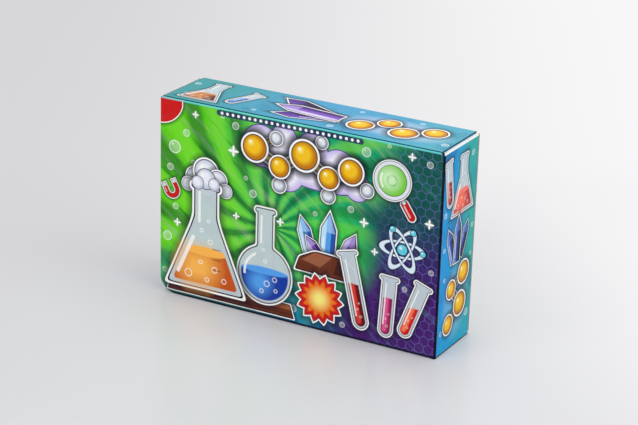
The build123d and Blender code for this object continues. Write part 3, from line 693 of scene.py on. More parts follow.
def top_print(p):
    across = p.sum("MULTIPLY_ADD", p.noise(0.02, 3.0), 60.0, p.u)
    p.colour = p.mix(p.ramp(across, 40, 190), rgb(62, 156, 160), rgb(76, 160, 200))
    p.wash(across, 230, 320, rgb(84, 174, 188), 0.7)
    p.wash(p.noise(0.03, 4.0, 0.6), 0.52, 0.74, rgb(36, 108, 140), 0.6)
    p.stamps(bubble, (WHITE,), ((10, 52, 3), (16, 22, 2), (104, 60, 2.6), (96, 12, 2.2),
                                (184, 62, 2.2), (178, 10, 3), (247, 62, 2.4), (290, 20, 3.2),
                                (72, 58, 1.8)), share=0.8)
    p.stamp(flask, 34, 36, 0.5, (BROWN, rgb(214, 142, 84)))
    p.tube(66, 22, 5, (ROYAL, rgb(110, 180, 240)), -24, 8, 6.5)
    deep = (rgb(34, 14, 62), rgb(64, 34, 116), rgb(112, 74, 176))
    p.crystals((134, 47, 0.6, deep, 66, 30.0), (146, 24, 0.62, deep, 104, 26.0),
               (142, 36, 0.68, PLUM, 84, 24.0))
    if p.near(234, 36, 70):
        p.lay(p.oval(234, 36, 50, 22, -4), rgb(216, 220, 242), soft=9, share=0.4)
    p.molecule(atoms(GOLDEN, (200, 28, 11), (221, 46, 9.5), (244, 29, 12), (269, 44, 10.5)), 3.2)
    # painted shade: a dark line along the crease to the front panel
    p.lay(p.plane(0, 2.2, 90), rgb(10, 72, 84), soft=0.9)
    # painted shade: dark lines near both ends, where the gap to the closures lies in shade
    for x, turn in ((3.8, 0), (296.2, 180)):
        p.lay(p.plane(x, 0, turn), NAVY, soft=0.6)


def back_print(p):
    """Plainer than the front: six tiles, each with one motif."""
    front_ground(p)
    p.stamps(bubble, (WHITE,), BUBBLES, share=0.5)
    for x, y in ((x, y) for y in (145, 55) for x in (56, 150, 244)):
        if p.near(x, y, 56):
            tile = p.box(x - 38, y - 37, x + 38, y + 37, 5.0)
            p.lined(tile, rgb(232, 240, 246), line=0.7, line_colour=ROYAL)
    p.stamp(flask, 56, 144, 0.6, (rgb(206, 92, 34), rgb(255, 190, 92)))
    p.stamp(round_flask, 150, 132, 18, (ROYAL, rgb(96, 170, 240)))
    p.stamp(atom, 244, 145, 25, (rgb(70, 120, 200), rgb(60, 178, 208)))
    p.crystals((47, 52, 0.46, PLUM, 14, 27.0), (64, 56, 0.54, SEA, -8, 25.0))
    p.tube(142, 34, 6, RUBY, 12)
    p.tube(164, 34, 6, (LEAF, LIME), -10)
    p.molecule(atoms(GOLDEN, (226, 60, 9), (246, 47, 8), (263, 64, 9)), 3)


def bottom_print(p):
    across = p.sum("MULTIPLY_ADD", p.noise(0.02, 3.0), 60.0, p.u)
    p.colour = p.mix(p.ramp(across, 60, 240), rgb(30, 120, 150), rgb(50, 60, 140))
    p.hexes(9.0, rgb(120, 200, 220), 0.3)


def flap_print(p):
    """Bare white board with the print running a little over the fold."""
    p.colour = p.mix(p.noise(0.05, 2.0), rgb(240, 240, 238), rgb(232, 232, 229))
    away = p.sum("MULTIPLY_ADD", p.noise(0.2, 1.0), 1.6, p.v)
    p.lay(p.sum("SUBTRACT", away, 9.0), rgb(40, 150, 196), soft=0.3)


FRONT = Face("front", X, Z, (HALF_W, 0), (300, 200), (6, 4), X, front_print, 1)
TOP = Face("top", X, Y, (HALF_W, HALF_D), (300, 73), (5, 1), X, top_print)
BACK = Face("back", (-1, 0, 0), Z, (HALF_W, 0), (300, 200), (4, 2), X, back_print, 1)
BOTTOM = Face("bottom", X, Y, (HALF_W, HALF_D), (300, 73), (1, 1), X, bottom_print)
ENDS = {
    "right": Face("right", Y, Z, (HALF_D, 0), (73, 200), (1, 4), Y, end_print),
    "left": Face("left", (0, -1, 0), Z, (HALF_D, 0), (73, 200), (1, 4), Y, end_print),
}
FLAPS = {
    "top": Face("top_flap", Y, (0, 0, -1), (HALF_D, HEIGHT), (73, 60), (1, 1), Y, flap_print),
    "bottom": Face("bottom_flap", Y, Z, (HALF_D, 0), (73, 60), (1, 1), Y, flap_print),
    "tuck": Face("tuck_flap", Z, (0, -1, 0), (0, HALF_D), (200, 60), (1, 1), Y, flap_print),
}


# ---- plain materials ----
def faded(colour, share):
    return tuple(c * share for c in colour[:3]) + (1.0,)


def liner(name, flute_axis, tone, fade=0.72):
    """Uncoated inner liner: fibres and specks, with faint stripes of painted shade along the
    flutes.
    """
    g = Graph(name)
    fibre = g.noise(0.9, 5.0, 0.65, at=g.stretched((1.0, 4.0, 1.0)))
    dark, wave = faded(tone, fade), g.wave(flute_axis)
    g.colour = tone
    g.wash(fibre, 0.3, 0.75, dark)
    g.wash(g.noise(0.03, 3.0), 0.35, 0.7, dark, 0.35)
    g.wash(g.noise(2.6), 0.7, 0.74, rgb(92, 70, 50), 0.5)
    # painted shade: the colour darkens a little with each flute's wave, as the washboard's shading
    colour = g.mix(g.sum("MULTIPLY", wave, 0.10), g.colour, dark)
    return g.set(Base_Color=colour, Roughness=0.86,
                 Normal=g.bump(fibre, 0.05, g.bump(wave, 0.06)))


def raw_edge(name, flute_axis, depth_axis, outer, sign):
    """Cut edge of the board: two liners and the wave of the flutes between them, the open hollows
    in painted shade.
    """
    g = Graph(name)
    thin, half = 0.16, BOARD / 2  # half the fluted paper, half the board
    depth = g.sum("MULTIPLY_ADD", g.dot(g.where, *depth_axis), -sign, sign * outer)
    wave = g.sum("MULTIPLY_ADD", g.wave(flute_axis), 0.96, half - 0.48)
    paper = g.sum("LESS_THAN", g.sum("ABSOLUTE", g.sum("SUBTRACT", depth, wave)), thin)
    off_middle = g.sum("ABSOLUTE", g.sum("SUBTRACT", depth, half))
    solid = g.sum("MAXIMUM", paper, g.sum("GREATER_THAN", off_middle, half - 0.24))
    fibre = g.noise(1.6, 4.0)
    light = g.mix(fibre, rgb(252, 252, 250), rgb(236, 234, 228))
    # painted shade: the hollows between the paper layers take a darker grey
    return g.set(Base_Color=g.mix(solid, rgb(204, 200, 192), light), Roughness=0.9,
                 Normal=g.bump(g.sum("MULTIPLY_ADD", fibre, 0.2, solid), 0.3))


BOARD_TONE = rgb(229, 224, 213)
inside_x, inside_y = liner("inner_liner_x", X, BOARD_TONE), liner("inner_liner_y", Y, BOARD_TONE)
kraft_x = liner("kraft_liner", X, rgb(184, 148, 108))
flat_edge = liner("flat_edge", Z, rgb(248, 247, 243), 0.92)
right_edge = raw_edge("right_edge", Y, X, HALF_W, 1)
left_edge = raw_edge("left_edge", Y, X, -HALF_W, -1)
bottom_edge = raw_edge("bottom_edge", X, Z, 0.0, -1)


# ---- meshes ----
HARD_EDGE = radians(38)  # sharper bends than this stay hard
CLOSEST = 0.12  # between two grid lines
KNOCK, KNOCK_REACH, KNOCK_FALL = Vector((3.9, 2.4, 4.8)), 16.0, 1.6
SKIN_OUT, SKIN_IN = -0.03, 0.06  # depths of the printed liner's skin at a crease


def mesh_piece(name, points, faces, slots, materials):
    """A mesh from millimetre points; slots gives each face's material."""
    mesh = bpy.data.meshes.new(name)
    mesh.from_pydata([(x * MM, y * MM, z * MM) for x, y, z in points], [], faces)
    for material in materials:
        mesh.materials.append(material)
    mesh.polygons.foreach_set("material_index", slots)
    mesh.polygons.foreach_set("use_smooth", [True] * len(faces))
    mesh.validate()
    mesh.update()
    piece = bpy.data.objects.new(name, mesh)
    bpy.context.scene.collection.objects.link(piece)
    return piece


def outward(piece):
    """Turns every face outwards and keeps hard edges hard."""
    work = bmesh.new()
    work.from_mesh(piece.data)
    bmesh.ops.recalc_face_normals(work, faces=work.faces)
    work.to_mesh(piece.data)
    work.free()
    piece.data.set_sharp_from_angle(angle=HARD_EDGE)
    return piece


def dressed(piece, body, slot, node):
    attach(piece, body)
    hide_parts(node)


def steps(low, high, pitch, fine=(), reach=3.0):
    """Grid lines from low to high, closer together within reach of the fine places."""
    count = max(1, round((high - low) / pitch))
    marks = {low, high}.union(low + (high - low) * i / count for i in range(count + 1))
    for place in fine:
        marks.update(v for v in (place + k * reach / 6 for k in range(-6, 7)) if low < v < high)
    first, *ordered = sorted(marks)
    kept = [first]
    for value in ordered:
        if value - kept[-1] > CLOSEST or value == high:
            kept.append(value)
    return kept


def crush(point):
    """The lower left front corner is pushed in by a knock, and less so further from it."""
    away = Vector(point) - Vector((-HALF_W, -HALF_D, 0.0))
    return Vector(point) + KNOCK * max(0.0, 1 - away.length / KNOCK_REACH) ** KNOCK_FALL


def sheet_faces(n, m):
    """Faces of a closed sheet of n by m points on two layers: the two sides by turns, then the
    edges along its first and last row, then those at the rows' ends."""
    half = n * m
    sides, edges, ends = [], [], []
    for a in (j * n + i for j in range(m - 1) for i in range(n - 1)):
        b = half + a
        sides += [(a, a + 1, a + n + 1, a + n), (b, b + n, b + n + 1, b + 1)]
    for a in (j * n + i for j in (0, m - 1) for i in range(n - 1)):
        edges.append((a, half + a, half + a + 1, a + 1))
    for a in (j * n + i for i in (0, n - 1) for j in range(m - 1)):
        ends.append((a, a + n, half + a + n, half + a))
    return sides, edges, ends


def board(name, body, node, rows, span, place, fine, face, plain, end_slot=1, pitch=4.0):
    """A sheet of board as a closed mesh in a solid's place. span gives a row's two ends, place
    turns (along, row, depth) into a point. The outer side takes the printed face's materials;
    plain gives those of the inner side and of the cut edges."""
    low, high = span(rows[0])
    shares = [(v - low) / (high - low) for v in steps(low, high, pitch, fine)]
    points = []
    for depth in (0.0, BOARD):
        for row in rows:
            low, high = span(row)
            points += [crush(place(low + share * (high - low), row, depth)) for share in shares]
    sides, edges, ends = sheet_faces(len(shares), len(rows))
    inner, slots = len(face.materials), []
    for a, _, c, _ in sides[::2]:
        slots += [face.slot((points[a] + points[c]) / 2), inner]
    slots += [inner + 1] * len(edges) + [inner + end_slot] * len(ends)
    piece = mesh_piece(name, points, sides + edges + ends, slots, face.materials + plain)
    dressed(outward(piece), body, "printed_board", node)


def limited(away):
    """No further from a fold's centre than the fold's radius."""
    return away * (FOLD / away.length) if away.length > FOLD else away


def in_box(point, half_x):
    """The point brought in to a box with rounded edges, centred on the case's middle."""
    middle = Vector((0, 0, HEIGHT / 2))
    p = Vector(point) - middle
    half = (half_x, HALF_D, HEIGHT / 2)
    core = Vector([max(-(h - FOLD), min(h - FOLD, c)) for c, h in zip(p, half)])
    return core + limited(p - core) + middle


def front_place(u, v, depth):
    half = HEIGHT / 2
    point = (u * (1 - depth / HALF_W), -HALF_D + depth, half + (v - half) * (1 - depth / half))
    return point if depth else in_box(point, HALF_W)


def top_place(u, v, depth):
    point = (u * (1 - depth / PANEL_HALF), v * (1 - depth / HALF_D), HEIGHT - depth)
    return point if depth else in_box(point, PANEL_HALF)


def bottom_place(u, v, depth):
    """The back edge stays square: the back panel covers it."""
    if depth:
        return (u * (1 - depth / PANEL_HALF), v + depth * (HALF_D - v) / (2 * HALF_D), depth)
    x, y, z = in_box((u, min(v, 0.0), 0.0), PANEL_HALF)
    return (x, v if v >= 0 else y, z)


def back_place(u, v, depth):
    middle, half = (BOARD + HEIGHT) / 2, (HEIGHT - BOARD) / 2
    y, z = HALF_D - depth, middle + (v - middle) * (1 - depth / half)
    if depth:
        return (u, y, z)
    core_y, core_z = HALF_D - FOLD, max(BOARD + FOLD, min(HEIGHT - FOLD, z))
    away = limited(Vector((0, y - core_y, z - core_z)))
    return (u, core_y + away.y, core_z + away.z)


# ends, drawn in plan at the right; side is -1 at the left
ALONG = Vector((-cos(LEAN), -sin(LEAN), 0))
INWARD = Vector((sin(LEAN), -cos(LEAN), 0))
SLANT = (1 + sin(LEAN)) / cos(LEAN)
CLOSURE_CENTRE = Vector((HALF_W - FOLD, -HALF_D + FOLD, 0))
TUCK_CENTRE = Vector((HALF_W - FOLD, CLOSURE_FOLD_Y - FOLD * SLANT, 0))


def plan_point(side, p, depth):
    """A point of the bent end strip; its outer corners are rounded as creases are."""
    corners = ((CLOSURE_CENTRE, Vector(X), -Vector(Y)), (TUCK_CENTRE, Vector(Y), -ALONG))
    for centre, first, second in corners if depth == 0 else ():
        away = Vector((p.x - centre.x, p.y - centre.y, 0))
        if away.dot(first) > 0 and away.dot(second) > 0 and away.length > FOLD:
            away = limited(away)
            p = Vector((centre.x + away.x, centre.y + away.y, p.z))
            break
    return Vector((side * p.x, p.y, p.z))


def closure_place(side):
    def place(u, v, depth):
        low, high = -HALF_D + depth + SLIT, CLOSURE_FOLD_Y - depth * SLANT
        y = low + (u + HALF_D) / (CLOSURE_FOLD_Y + HALF_D) * (high - low)
        return plan_point(side, Vector((HALF_W - depth, y, v)), depth)

    return place


def tuck_place(side):
    def place(u, v, depth):
        start = SLIT + depth * SLANT
        run = start + u * (TUCK - start) / TUCK
        p = Vector((HALF_W, CLOSURE_FOLD_Y, 0)) + ALONG * run + INWARD * depth
        p.z = v
        return plan_point(side, p, depth)

    return place


def rounded_off(gone, radius):
    """How far a rounded corner draws a tip in, at so far into the corner."""
    return radius - (radius ** 2 - gone ** 2) ** 0.5 if gone < radius else radius


def tuck_span(v):
    """The tuck flap's corners are rounded at its tip."""
    gone = max(0.0, TUCK_SHOULDER + TUCK_CORNER - v, v - (HEIGHT - TUCK_SHOULDER - TUCK_CORNER))
    return (0.0, TUCK - rounded_off(gone, TUCK_CORNER))


def dust_place(side, top):
    def place(u, v, depth):
        x = PANEL_HALF - depth
        if v < FOLD and depth == 0:
            away = limited(Vector((x - (PANEL_HALF - FOLD), FOLD - v)))
            x, v = PANEL_HALF - FOLD + away.x, FOLD - away.y
        elif depth:
            v = max(v, depth) if v < BOARD else v
        return Vector((side * x, u, HEIGHT - v if top else v))

    return place


def dust_span(v):
    """Tapered by 30 degrees in front and 5 behind, its tip's corners rounded."""
    inset = rounded_off(max(0.0, v - (DUST - DUST_CORNER)), DUST_CORNER)
    return (DUST_FRONT + v * tan(radians(30)) + inset, DUST_BACK - v * tan(radians(5)) - inset)


def tangent(first, second):
    """Unit vector square to first, on second's side."""
    return (second - first * first.dot(second)).normalized()


def arc_section(centre, first, second, flat=1.2):
    """Points and normals over a rounded corner, with a little of the flat on both sides."""
    turn, section = first.angle(second), []
    for k in range(3):
        section.append((centre + first * FOLD - tangent(first, second) * flat * (1 - k / 3), first))
    for k in range(9):
        share = k / 8
        n = (first * sin((1 - share) * turn) + second * sin(share * turn)) / sin(turn)
        section.append((centre + n * FOLD, n))
    for k in range(1, 4):
        section.append((centre + second * FOLD - tangent(second, first) * flat * (k / 3), second))
    return section


def crease_skin(name, centre, first, second, low, high, place, prints, body_a, body_b):
    """The printed liner that bends round a crease: a thin skin over the corner, with one face's
    print up to the fold and the next one's beyond it."""
    section, rows = arc_section(centre, first, second), steps(low, high, 8.0)
    points = [crush(place(p - normal * depth, row))
              for depth in (SKIN_OUT, SKIN_IN) for row in rows for p, normal in section]
    n = len(section)
    sides, edges, ends = sheet_faces(n, len(rows))
    slots = []
    for a, *_ in sides[::2]:
        beyond = a % n >= (n - 1) // 2
        slots += [prints[beyond].slot(points[a]) + beyond * len(prints[0].materials)] * 2
    slots += [slots[0]] * (len(edges) + len(ends))
    piece = outward(mesh_piece(name, points, sides + edges + ends, slots,
                               prints[0].materials + prints[1].materials))
    start, end = (Vector(place(centre + n * FOLD, (low + high) / 2)) * MM for n in (first, second))
    tuple(start)
    tuple(end)
    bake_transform(piece)


# ---- the carton ----
panel_rows, panel_ends = steps(-HALF_D, HALF_D, 4.0, (-HALF_D, HALF_D)), (-PANEL_HALF, PANEL_HALF)
for word, rows, half, place, fine, face, edge in (
    ("front", steps(0, HEIGHT, 4.0, (0, HEIGHT, 8)), HALF_W, front_place,
     (-HALF_W, HALF_W, -HALF_W + 8), FRONT, flat_edge),
    ("top", panel_rows, PANEL_HALF, top_place, panel_ends, TOP, flat_edge),
    ("bottom", panel_rows, PANEL_HALF, bottom_place, panel_ends, BOTTOM, bottom_edge),
    ("back", steps(BOARD, HEIGHT, 4.0, (BOARD, HEIGHT)), HALF_W, back_place, (), BACK, flat_edge),
):
    board(f"{word}_board", "case", f"{word}_panel", rows, lambda v: (-half, half), place, fine,
          face, [inside_x, edge])

x_axis, y_axis, z_axis = Vector(X), Vector(Y), Vector(Z)
low, high = TUCK_SHOULDER, HEIGHT - TUCK_SHOULDER
tuck_rows = steps(low, high, 6.0, (low, low + TUCK_CORNER / 2, high - TUCK_CORNER / 2, high), 7.0)
dust_rows = steps(SLIT, DUST, 4.0, (SLIT, DUST - 1), 4.0)
for side, word, cut_edge in ((1, "right", right_edge), (-1, "left", left_edge)):
    closure, tuck = f"{word}_closure", f"{word}_tuck_flap"
    ends = ENDS[word]

    def in_plan(p, row, side=side):
        return (side * p.x, p.y, row)

    def in_side(p, row, side=side):
        return (side * p.x, row, p.z)

    board(f"{word}_closure_board", closure, closure, steps(EDGE_GAP, HEIGHT - EDGE_GAP, 4.0, (8,)),
          lambda v: (-HALF_D, CLOSURE_FOLD_Y), closure_place(side), (-HALF_D, CLOSURE_FOLD_Y), ends,
          [inside_y, cut_edge, flat_edge], 2)
    board(f"{word}_tuck_board", tuck, tuck, tuck_rows, tuck_span, tuck_place(side), (0.0,),
          FLAPS["tuck"], [inside_y, flat_edge], pitch=3.0)
    crease_skin(f"{word}_closure_crease", CLOSURE_CENTRE, -y_axis, x_axis, EDGE_GAP,
                HEIGHT - EDGE_GAP, in_plan, (FRONT, ends), "case", closure)
    crease_skin(f"{word}_tuck_crease", TUCK_CENTRE, x_axis, -INWARD, low, high, in_plan,
                (ends, FLAPS["tuck"]), closure, tuck)
    for top, level, sheet in ((True, "top", TOP), (False, "bottom", BOTTOM)):
        flap = f"{word}_{level}_dust_flap"
        board(f"{word}_{level}_dust_board", flap, flap, dust_rows, dust_span,
              dust_place(side, top), (), FLAPS[level], [inside_y, flat_edge])
        centre = Vector((PANEL_HALF - FOLD, 0, HEIGHT - FOLD if top else FOLD))
        crease_skin(f"{word}_{level}_dust_crease", centre, z_axis if top else -z_axis, x_axis,
                    DUST_FRONT + 1.5, DUST_BACK - 0.5, in_side, (sheet, FLAPS[level]), "case", flap)


# ---- kit materials ----
SEAT = 34.6  # what lies on the back panel ends here
CLEAR = dict(Transmission_Weight=0.85, IOR=1.46)


def plastic(name, colour, rough, fade, **more):
    """Moulded plastic: slight clouds of tone, fine grain and a few scuffs."""
    g = Graph(name)
    grain, clouds = g.noise(0.8, 3.0), g.noise(0.05)
    scuffs = g.noise(1.0, 4.0, 0.7, at=g.stretched((6.0, 0.5, 0.5), (20, 35, 0)))
    shade = g.sum("ADD", g.ramp(grain, 0.3, 0.7, rough - 0.04, rough + 0.05),
                  g.ramp(scuffs, 0.62, 0.7, 0, 0.14))
    return g.set(Base_Color=g.mix(g.ramp(clouds, 0.3, 0.7), colour, faded(colour, fade)),
                 Roughness=shade, Normal=g.bump(scuffs, 0.01, g.bump(grain, 0.015)), **more)


def jar_plastic():
    """Milky jars with a plain paper label round them, striped in blue and green."""
    g = Graph("jar_plastic")
    grain = g.noise(0.8, 3.0)
    rise = g.sum("SUBTRACT", SEAT, g.dot(g.where, *Y))
    colour = g.mix(g.ramp(g.noise(0.05), 0.3, 0.7), rgb(228, 229, 224), rgb(206, 207, 200))
    label = g.between(rise, 6.0, 25.0)
    colour = g.mix(label, colour, rgb(246, 246, 244))
    for low, high, ink in ((7.0, 9.0, rgb(34, 116, 188)), (21.0, 24.0, rgb(60, 160, 70))):
        colour = g.mix(g.between(rise, low, high), colour, ink)
    return g.set(Base_Color=colour, Roughness=g.ramp(grain, 0.3, 0.7, 0.4, 0.52),
                 Normal=g.bump(label, 0.12, g.bump(grain, 0.02)))


def booklet_paper():
    """Coated paper with plain coloured bands over its cover and a faint page texture."""
    g = Graph("booklet_paper")
    fibre, up = g.noise(1.2, 4.0), g.dot(g.where, *Z)
    colour = g.mix(fibre, rgb(240, 241, 240), rgb(228, 230, 230))
    for low, high, ink in ((118, 142, rgb(30, 140, 190)), (112, 115, rgb(240, 178, 44)),
                           (10, 14, rgb(96, 190, 60))):
        colour = g.mix(g.between(up, low, high), colour, ink)
    return g.set(Base_Color=colour, Roughness=g.ramp(fibre, 0.3, 0.7, 0.4, 0.5),
                 Normal=g.bump(fibre, 0.02))


SLOT_MATERIAL = {"printed_board": inside_x, "insert_board": kraft_x,
                 "booklet_paper": booklet_paper(), "jar_plastic": jar_plastic()}
for slot, colour, rough, fade, more in (
    ("white_plastic", rgb(238, 240, 242), 0.35, 0.86, {}),
    ("lens_plastic", rgb(240, 246, 250), 0.08, 0.97, CLEAR),
    ("screw_steel", rgb(176, 178, 182), 0.3, 0.86, dict(Metallic=1.0)),
    ("red_plastic", rgb(200, 28, 32), 0.3, 0.86, {}),
    ("stopper_plastic", rgb(242, 148, 36), 0.5, 0.86, {}),
    ("clear_plastic", rgb(232, 242, 246), 0.1, 0.96, CLEAR),
    ("cap_plastic", rgb(34, 82, 178), 0.42, 0.86, {}),
    ("crystals", rgb(24, 104, 214), 0.12, 0.6, dict(IOR=1.5, Coat_Weight=0.5)),
    ("dish_metal", rgb(196, 198, 202), 0.32, 0.86, dict(Metallic=1.0)),
    ("pipette_plastic", rgb(228, 238, 242), 0.28, 0.95, CLEAR),
    ("spoon_plastic", rgb(246, 206, 44), 0.38, 0.86, {}),
):
    SLOT_MATERIAL[slot] = plastic(slot, colour, rough, fade, **more)
slot_of = {part["node"]: part["material_slot"] for part in frame["record"]["subparts"]}
for name, item in frame["nodes"].items():
    material = SLOT_MATERIAL[slot_of[name]]
    if not item.data.materials:
        item.data.materials.append(material)
    for place in item.material_slots:
        place.material = material


# ---- kit pieces that a lathe, a mould or a crystal shapes ----
def softened(profile, radius, closed=False):
    """The profile with its corners rounded."""
    count = len(profile)
    done = [] if closed else [Vector(profile[0])]
    for i in range(count) if closed else range(1, count - 1):
        a, b, c = (Vector(profile[k % count]) for k in (i - 1, i, i + 1))
        reach = min(radius, 0.45 * (a - b).length, 0.45 * (c - b).length)
        start, end = b + (a - b).normalized() * reach, b + (c - b).normalized() * reach
        for t in (0, 0.25, 0.5, 0.75, 1):
            done.append(start * (1 - t) ** 2 + b * 2 * t * (1 - t) + end * t * t)
    return done if closed else done + [Vector(profile[-1])]


def turned(profile, place, rounding=0.6, sides=48, closed=False, ribs=None):
    """Points and faces of a round piece; place turns (a, b, height) into a point. ribs is
    (count, depth, lowest, highest, smallest radius) of the grooves round its side."""
    rings = softened(profile, rounding, closed)
    points, starts = [], []
    for radius, height in rings:
        starts.append(len(points))
        if radius < 1e-6:
            points.append(place(0, 0, height))
            continue
        for k in range(sides):
            angle, r = 2 * pi * k / sides, radius
            if ribs and ribs[2] <= height <= ribs[3] and radius >= ribs[4]:
                r -= ribs[1] * (0.5 - 0.5 * cos(ribs[0] * angle))
            points.append(place(r * cos(angle), r * sin(angle), height))
    faces = []
    for i in range(len(rings) if closed else len(rings) - 1):
        j = (i + 1) % len(rings)
        a, b = starts[i], starts[j]
        for k in range(sides):
            m = (k + 1) % sides
            if rings[i][0] < 1e-6:
                faces.append((a, b + m, b + k))
            elif rings[j][0] < 1e-6:
                faces.append((a + k, a + m, b))
            else:
                faces.append((a + k, a + m, b + m, b + k))
    return points, faces


def added(*shapes):
    """Several shapes' points and faces as one."""
    points, faces = [], []
    for more_points, more_faces in shapes:
        start = len(points)
        points += more_points
        faces += [tuple(start + i for i in face) for face in more_faces]
    return points, faces


def kit_piece(name, node, shape):
    points, faces = shape
    slot = slot_of[node]
    piece = outward(mesh_piece(name, points, faces, [0] * len(faces), [SLOT_MATERIAL[slot]]))
    dressed(piece, "case", slot, node)


def node_box(node):
    """A node's lowest corner, highest corner and middle."""
    low, high = (Vector(corner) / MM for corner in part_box(node))
    return low, high, [(a + b) / 2 for a, b in zip(low, high)]


def towards_front(node):
    """Stands on the back panel, its height towards the front."""
    _, high, (x, _, z) = node_box(node)
    return lambda a, b, h: (x + a, high.y - h, z + b)


def along_case(node):
    low, _, (_, y, z) = node_box(node)
    return lambda a, b, h: (low.x + h, y + a, z + b)


def upwards(node):
    low, _, (x, y, _) = node_box(node)
    return lambda a, b, h: (x + a, y + b, low.z + h)


def slab(low, high, bevel):
    """A bar with bevelled edges all round."""
    shape = bmesh.new()
    bmesh.ops.create_cube(shape, size=1.0)
    for vert in shape.verts:
        vert.co = [l + (c + 0.5) * (h - l) for c, l, h in zip(vert.co, low, high)]
    bmesh.ops.bevel(shape, geom=shape.edges, offset=bevel, segments=3, profile=0.6, affect="EDGES")
    shape.verts.index_update()
    made = ([tuple(v.co) for v in shape.verts],
            [tuple(v.index for v in f.verts) for f in shape.faces])
    shape.free()
    return made


def tube_wall(radius):
    """A tube's round end, from its lowest point to where its side starts."""
    return [(radius * sin(pi / 2 * k / 9), 7.5 - radius * cos(pi / 2 * k / 9)) for k in range(10)]


def graduation(step):
    """A raised line on the beaker's side; every second one is longer."""
    wide = 0.32 if step % 2 == 0 else 0.2
    arc = [(turn, rise) for rise in (-0.3, 0.3) for turn in (-wide, -wide / 3, wide / 3, wide)]
    place = towards_front("measuring_beaker")
    points = [place(r * cos(t - 1.2), r * sin(t - 1.2), 4.5 * step + 4 + h)
              for r in (20.8, 21.25) for t, h in arc]
    sides = ((0, 1, 5, 4), (8, 12, 13, 9), (0, 8, 9, 1), (4, 5, 13, 12))
    faces = [tuple(k + corner for corner in side) for side in sides for k in range(3)]
    return points, faces + [(0, 4, 12, 8), (3, 11, 15, 7)]


# Profiles as (radius, height).
JAR = [(0, 0.9), (9, 0.9), (10.4, 0), (14, 0), (14, 29), (11.2, 31), (10.5, 31.4), (10.5, 40),
       (0, 40)]
CAP = [(0, 9.7), (8.6, 9.7), (9.2, 10.5), (12.15, 10.5), (12.15, 1.0), (12.15, 0), (10.9, 0),
       (10.9, 9.0), (0, 9.0)]
TUBE = tube_wall(7.5) + [(7.5, 92), (6.5, 92)] + tube_wall(6.5)[::-1]
STOPPER = [(0, 0), (5.9, 0), (6.35, 8.6), (6.35, 9), (8.95, 9), (8.95, 14), (5.2, 14), (4.6, 13.2),
           (0, 13.2)]
BEAKER = [(0, 0.8), (17, 0.8), (18.6, 0), (21, 0), (21, 54), (22.5, 54.6), (22.5, 56), (20.2, 56),
          (19.8, 54), (19.8, 1.6), (0, 1.6)]
DISH = [(0, 0.5), (15, 0.5), (16.5, 0), (18.2, 0), (20, 2.4), (20, 10), (22.6, 10), (23, 10.5),
        (22.6, 11), (19.4, 11), (19, 2.9), (17.6, 1.2), (0, 1.4)]
CONNECTOR = [(5, 22), (5, 24), (12, 24), (12, 46), (15.8, 46), (15.8, 38), (14, 38), (14, 8),
             (15.8, 8), (15.8, 0), (12, 0), (12, 22)]
PIPETTE = [(0, 0), (4.0, 0), (5.6, 3), (5.6, 25), (2.6, 36), (2.6, 40), (3.1, 41), (3.1, 42.5),
           (2.6, 43.5), (2.6, 98), (1.2, 112), (1.0, 118), (0.9, 140), (0.45, 140), (0.45, 138),
           (0, 138)]
GROW_JAR = [(0, 1.0), (11, 1.0), (12.4, 0), (14.4, 0), (14.4, 74), (13, 74), (13, 1.4), (0, 1.9)]
GROW_LID = [(0, 11.2), (12.4, 11.2), (13, 12), (16, 12), (16, 0), (14.6, 0), (14.6, 10.6),
            (0, 10.6)]
SPOON_CUP = [(0, 0), (6.4, 0), (7.5, 1.2), (7.5, 5), (6.5, 5), (6.5, 1.6), (0, 1.0)]

# Name, node, profile and stand, then what turned() takes: rounding, sides, closed and ribs.
FOURS = (
    ("jar", "reagent_jar", JAR, towards_front, 1.2),
    ("ribbed_cap", "jar_cap", CAP, towards_front, 0.7, 192, False, (48, 0.4, 0.6, 9.9, 12)),
    ("tube", "test_tube", TUBE, upwards, 0.4),
    ("stopper", "tube_stopper", STOPPER, upwards, 0.6, 112, False, (14, 0.5, 9.2, 13.8, 8)),
)
SINGLES = (
    ("pressed_dish", "dish", DISH, towards_front, 0.8, 64),
    ("ribbed_connector", "bottle_connector", CONNECTOR, towards_front, 0.6, 144, True,
     (36, 0.7, 0, 46, 15)),
    ("dropper", "pipette", PIPETTE, along_case, 2.2, 32),
    ("grow_jar", "growing_jar", GROW_JAR, along_case, 0.9, 64),
    ("grow_lid", "growing_jar_lid", GROW_LID, along_case, 0.8, 192, False,
     (48, 0.5, 0.8, 11.2, 15.5)),
)
for n in range(1, 5):
    for name, node, profile, stand, *shape in FOURS:
        kit_piece(f"{name}_{n}", f"{node}_{n}", turned(profile, stand(f"{node}_{n}"), *shape))
beaker = turned(BEAKER, towards_front("measuring_beaker"), 0.9, 64)
kit_piece("beaker", "measuring_beaker", added(beaker, *map(graduation, range(1, 10))))
for name, node, profile, stand, *shape in SINGLES:
    kit_piece(name, node, turned(profile, stand(node), *shape))


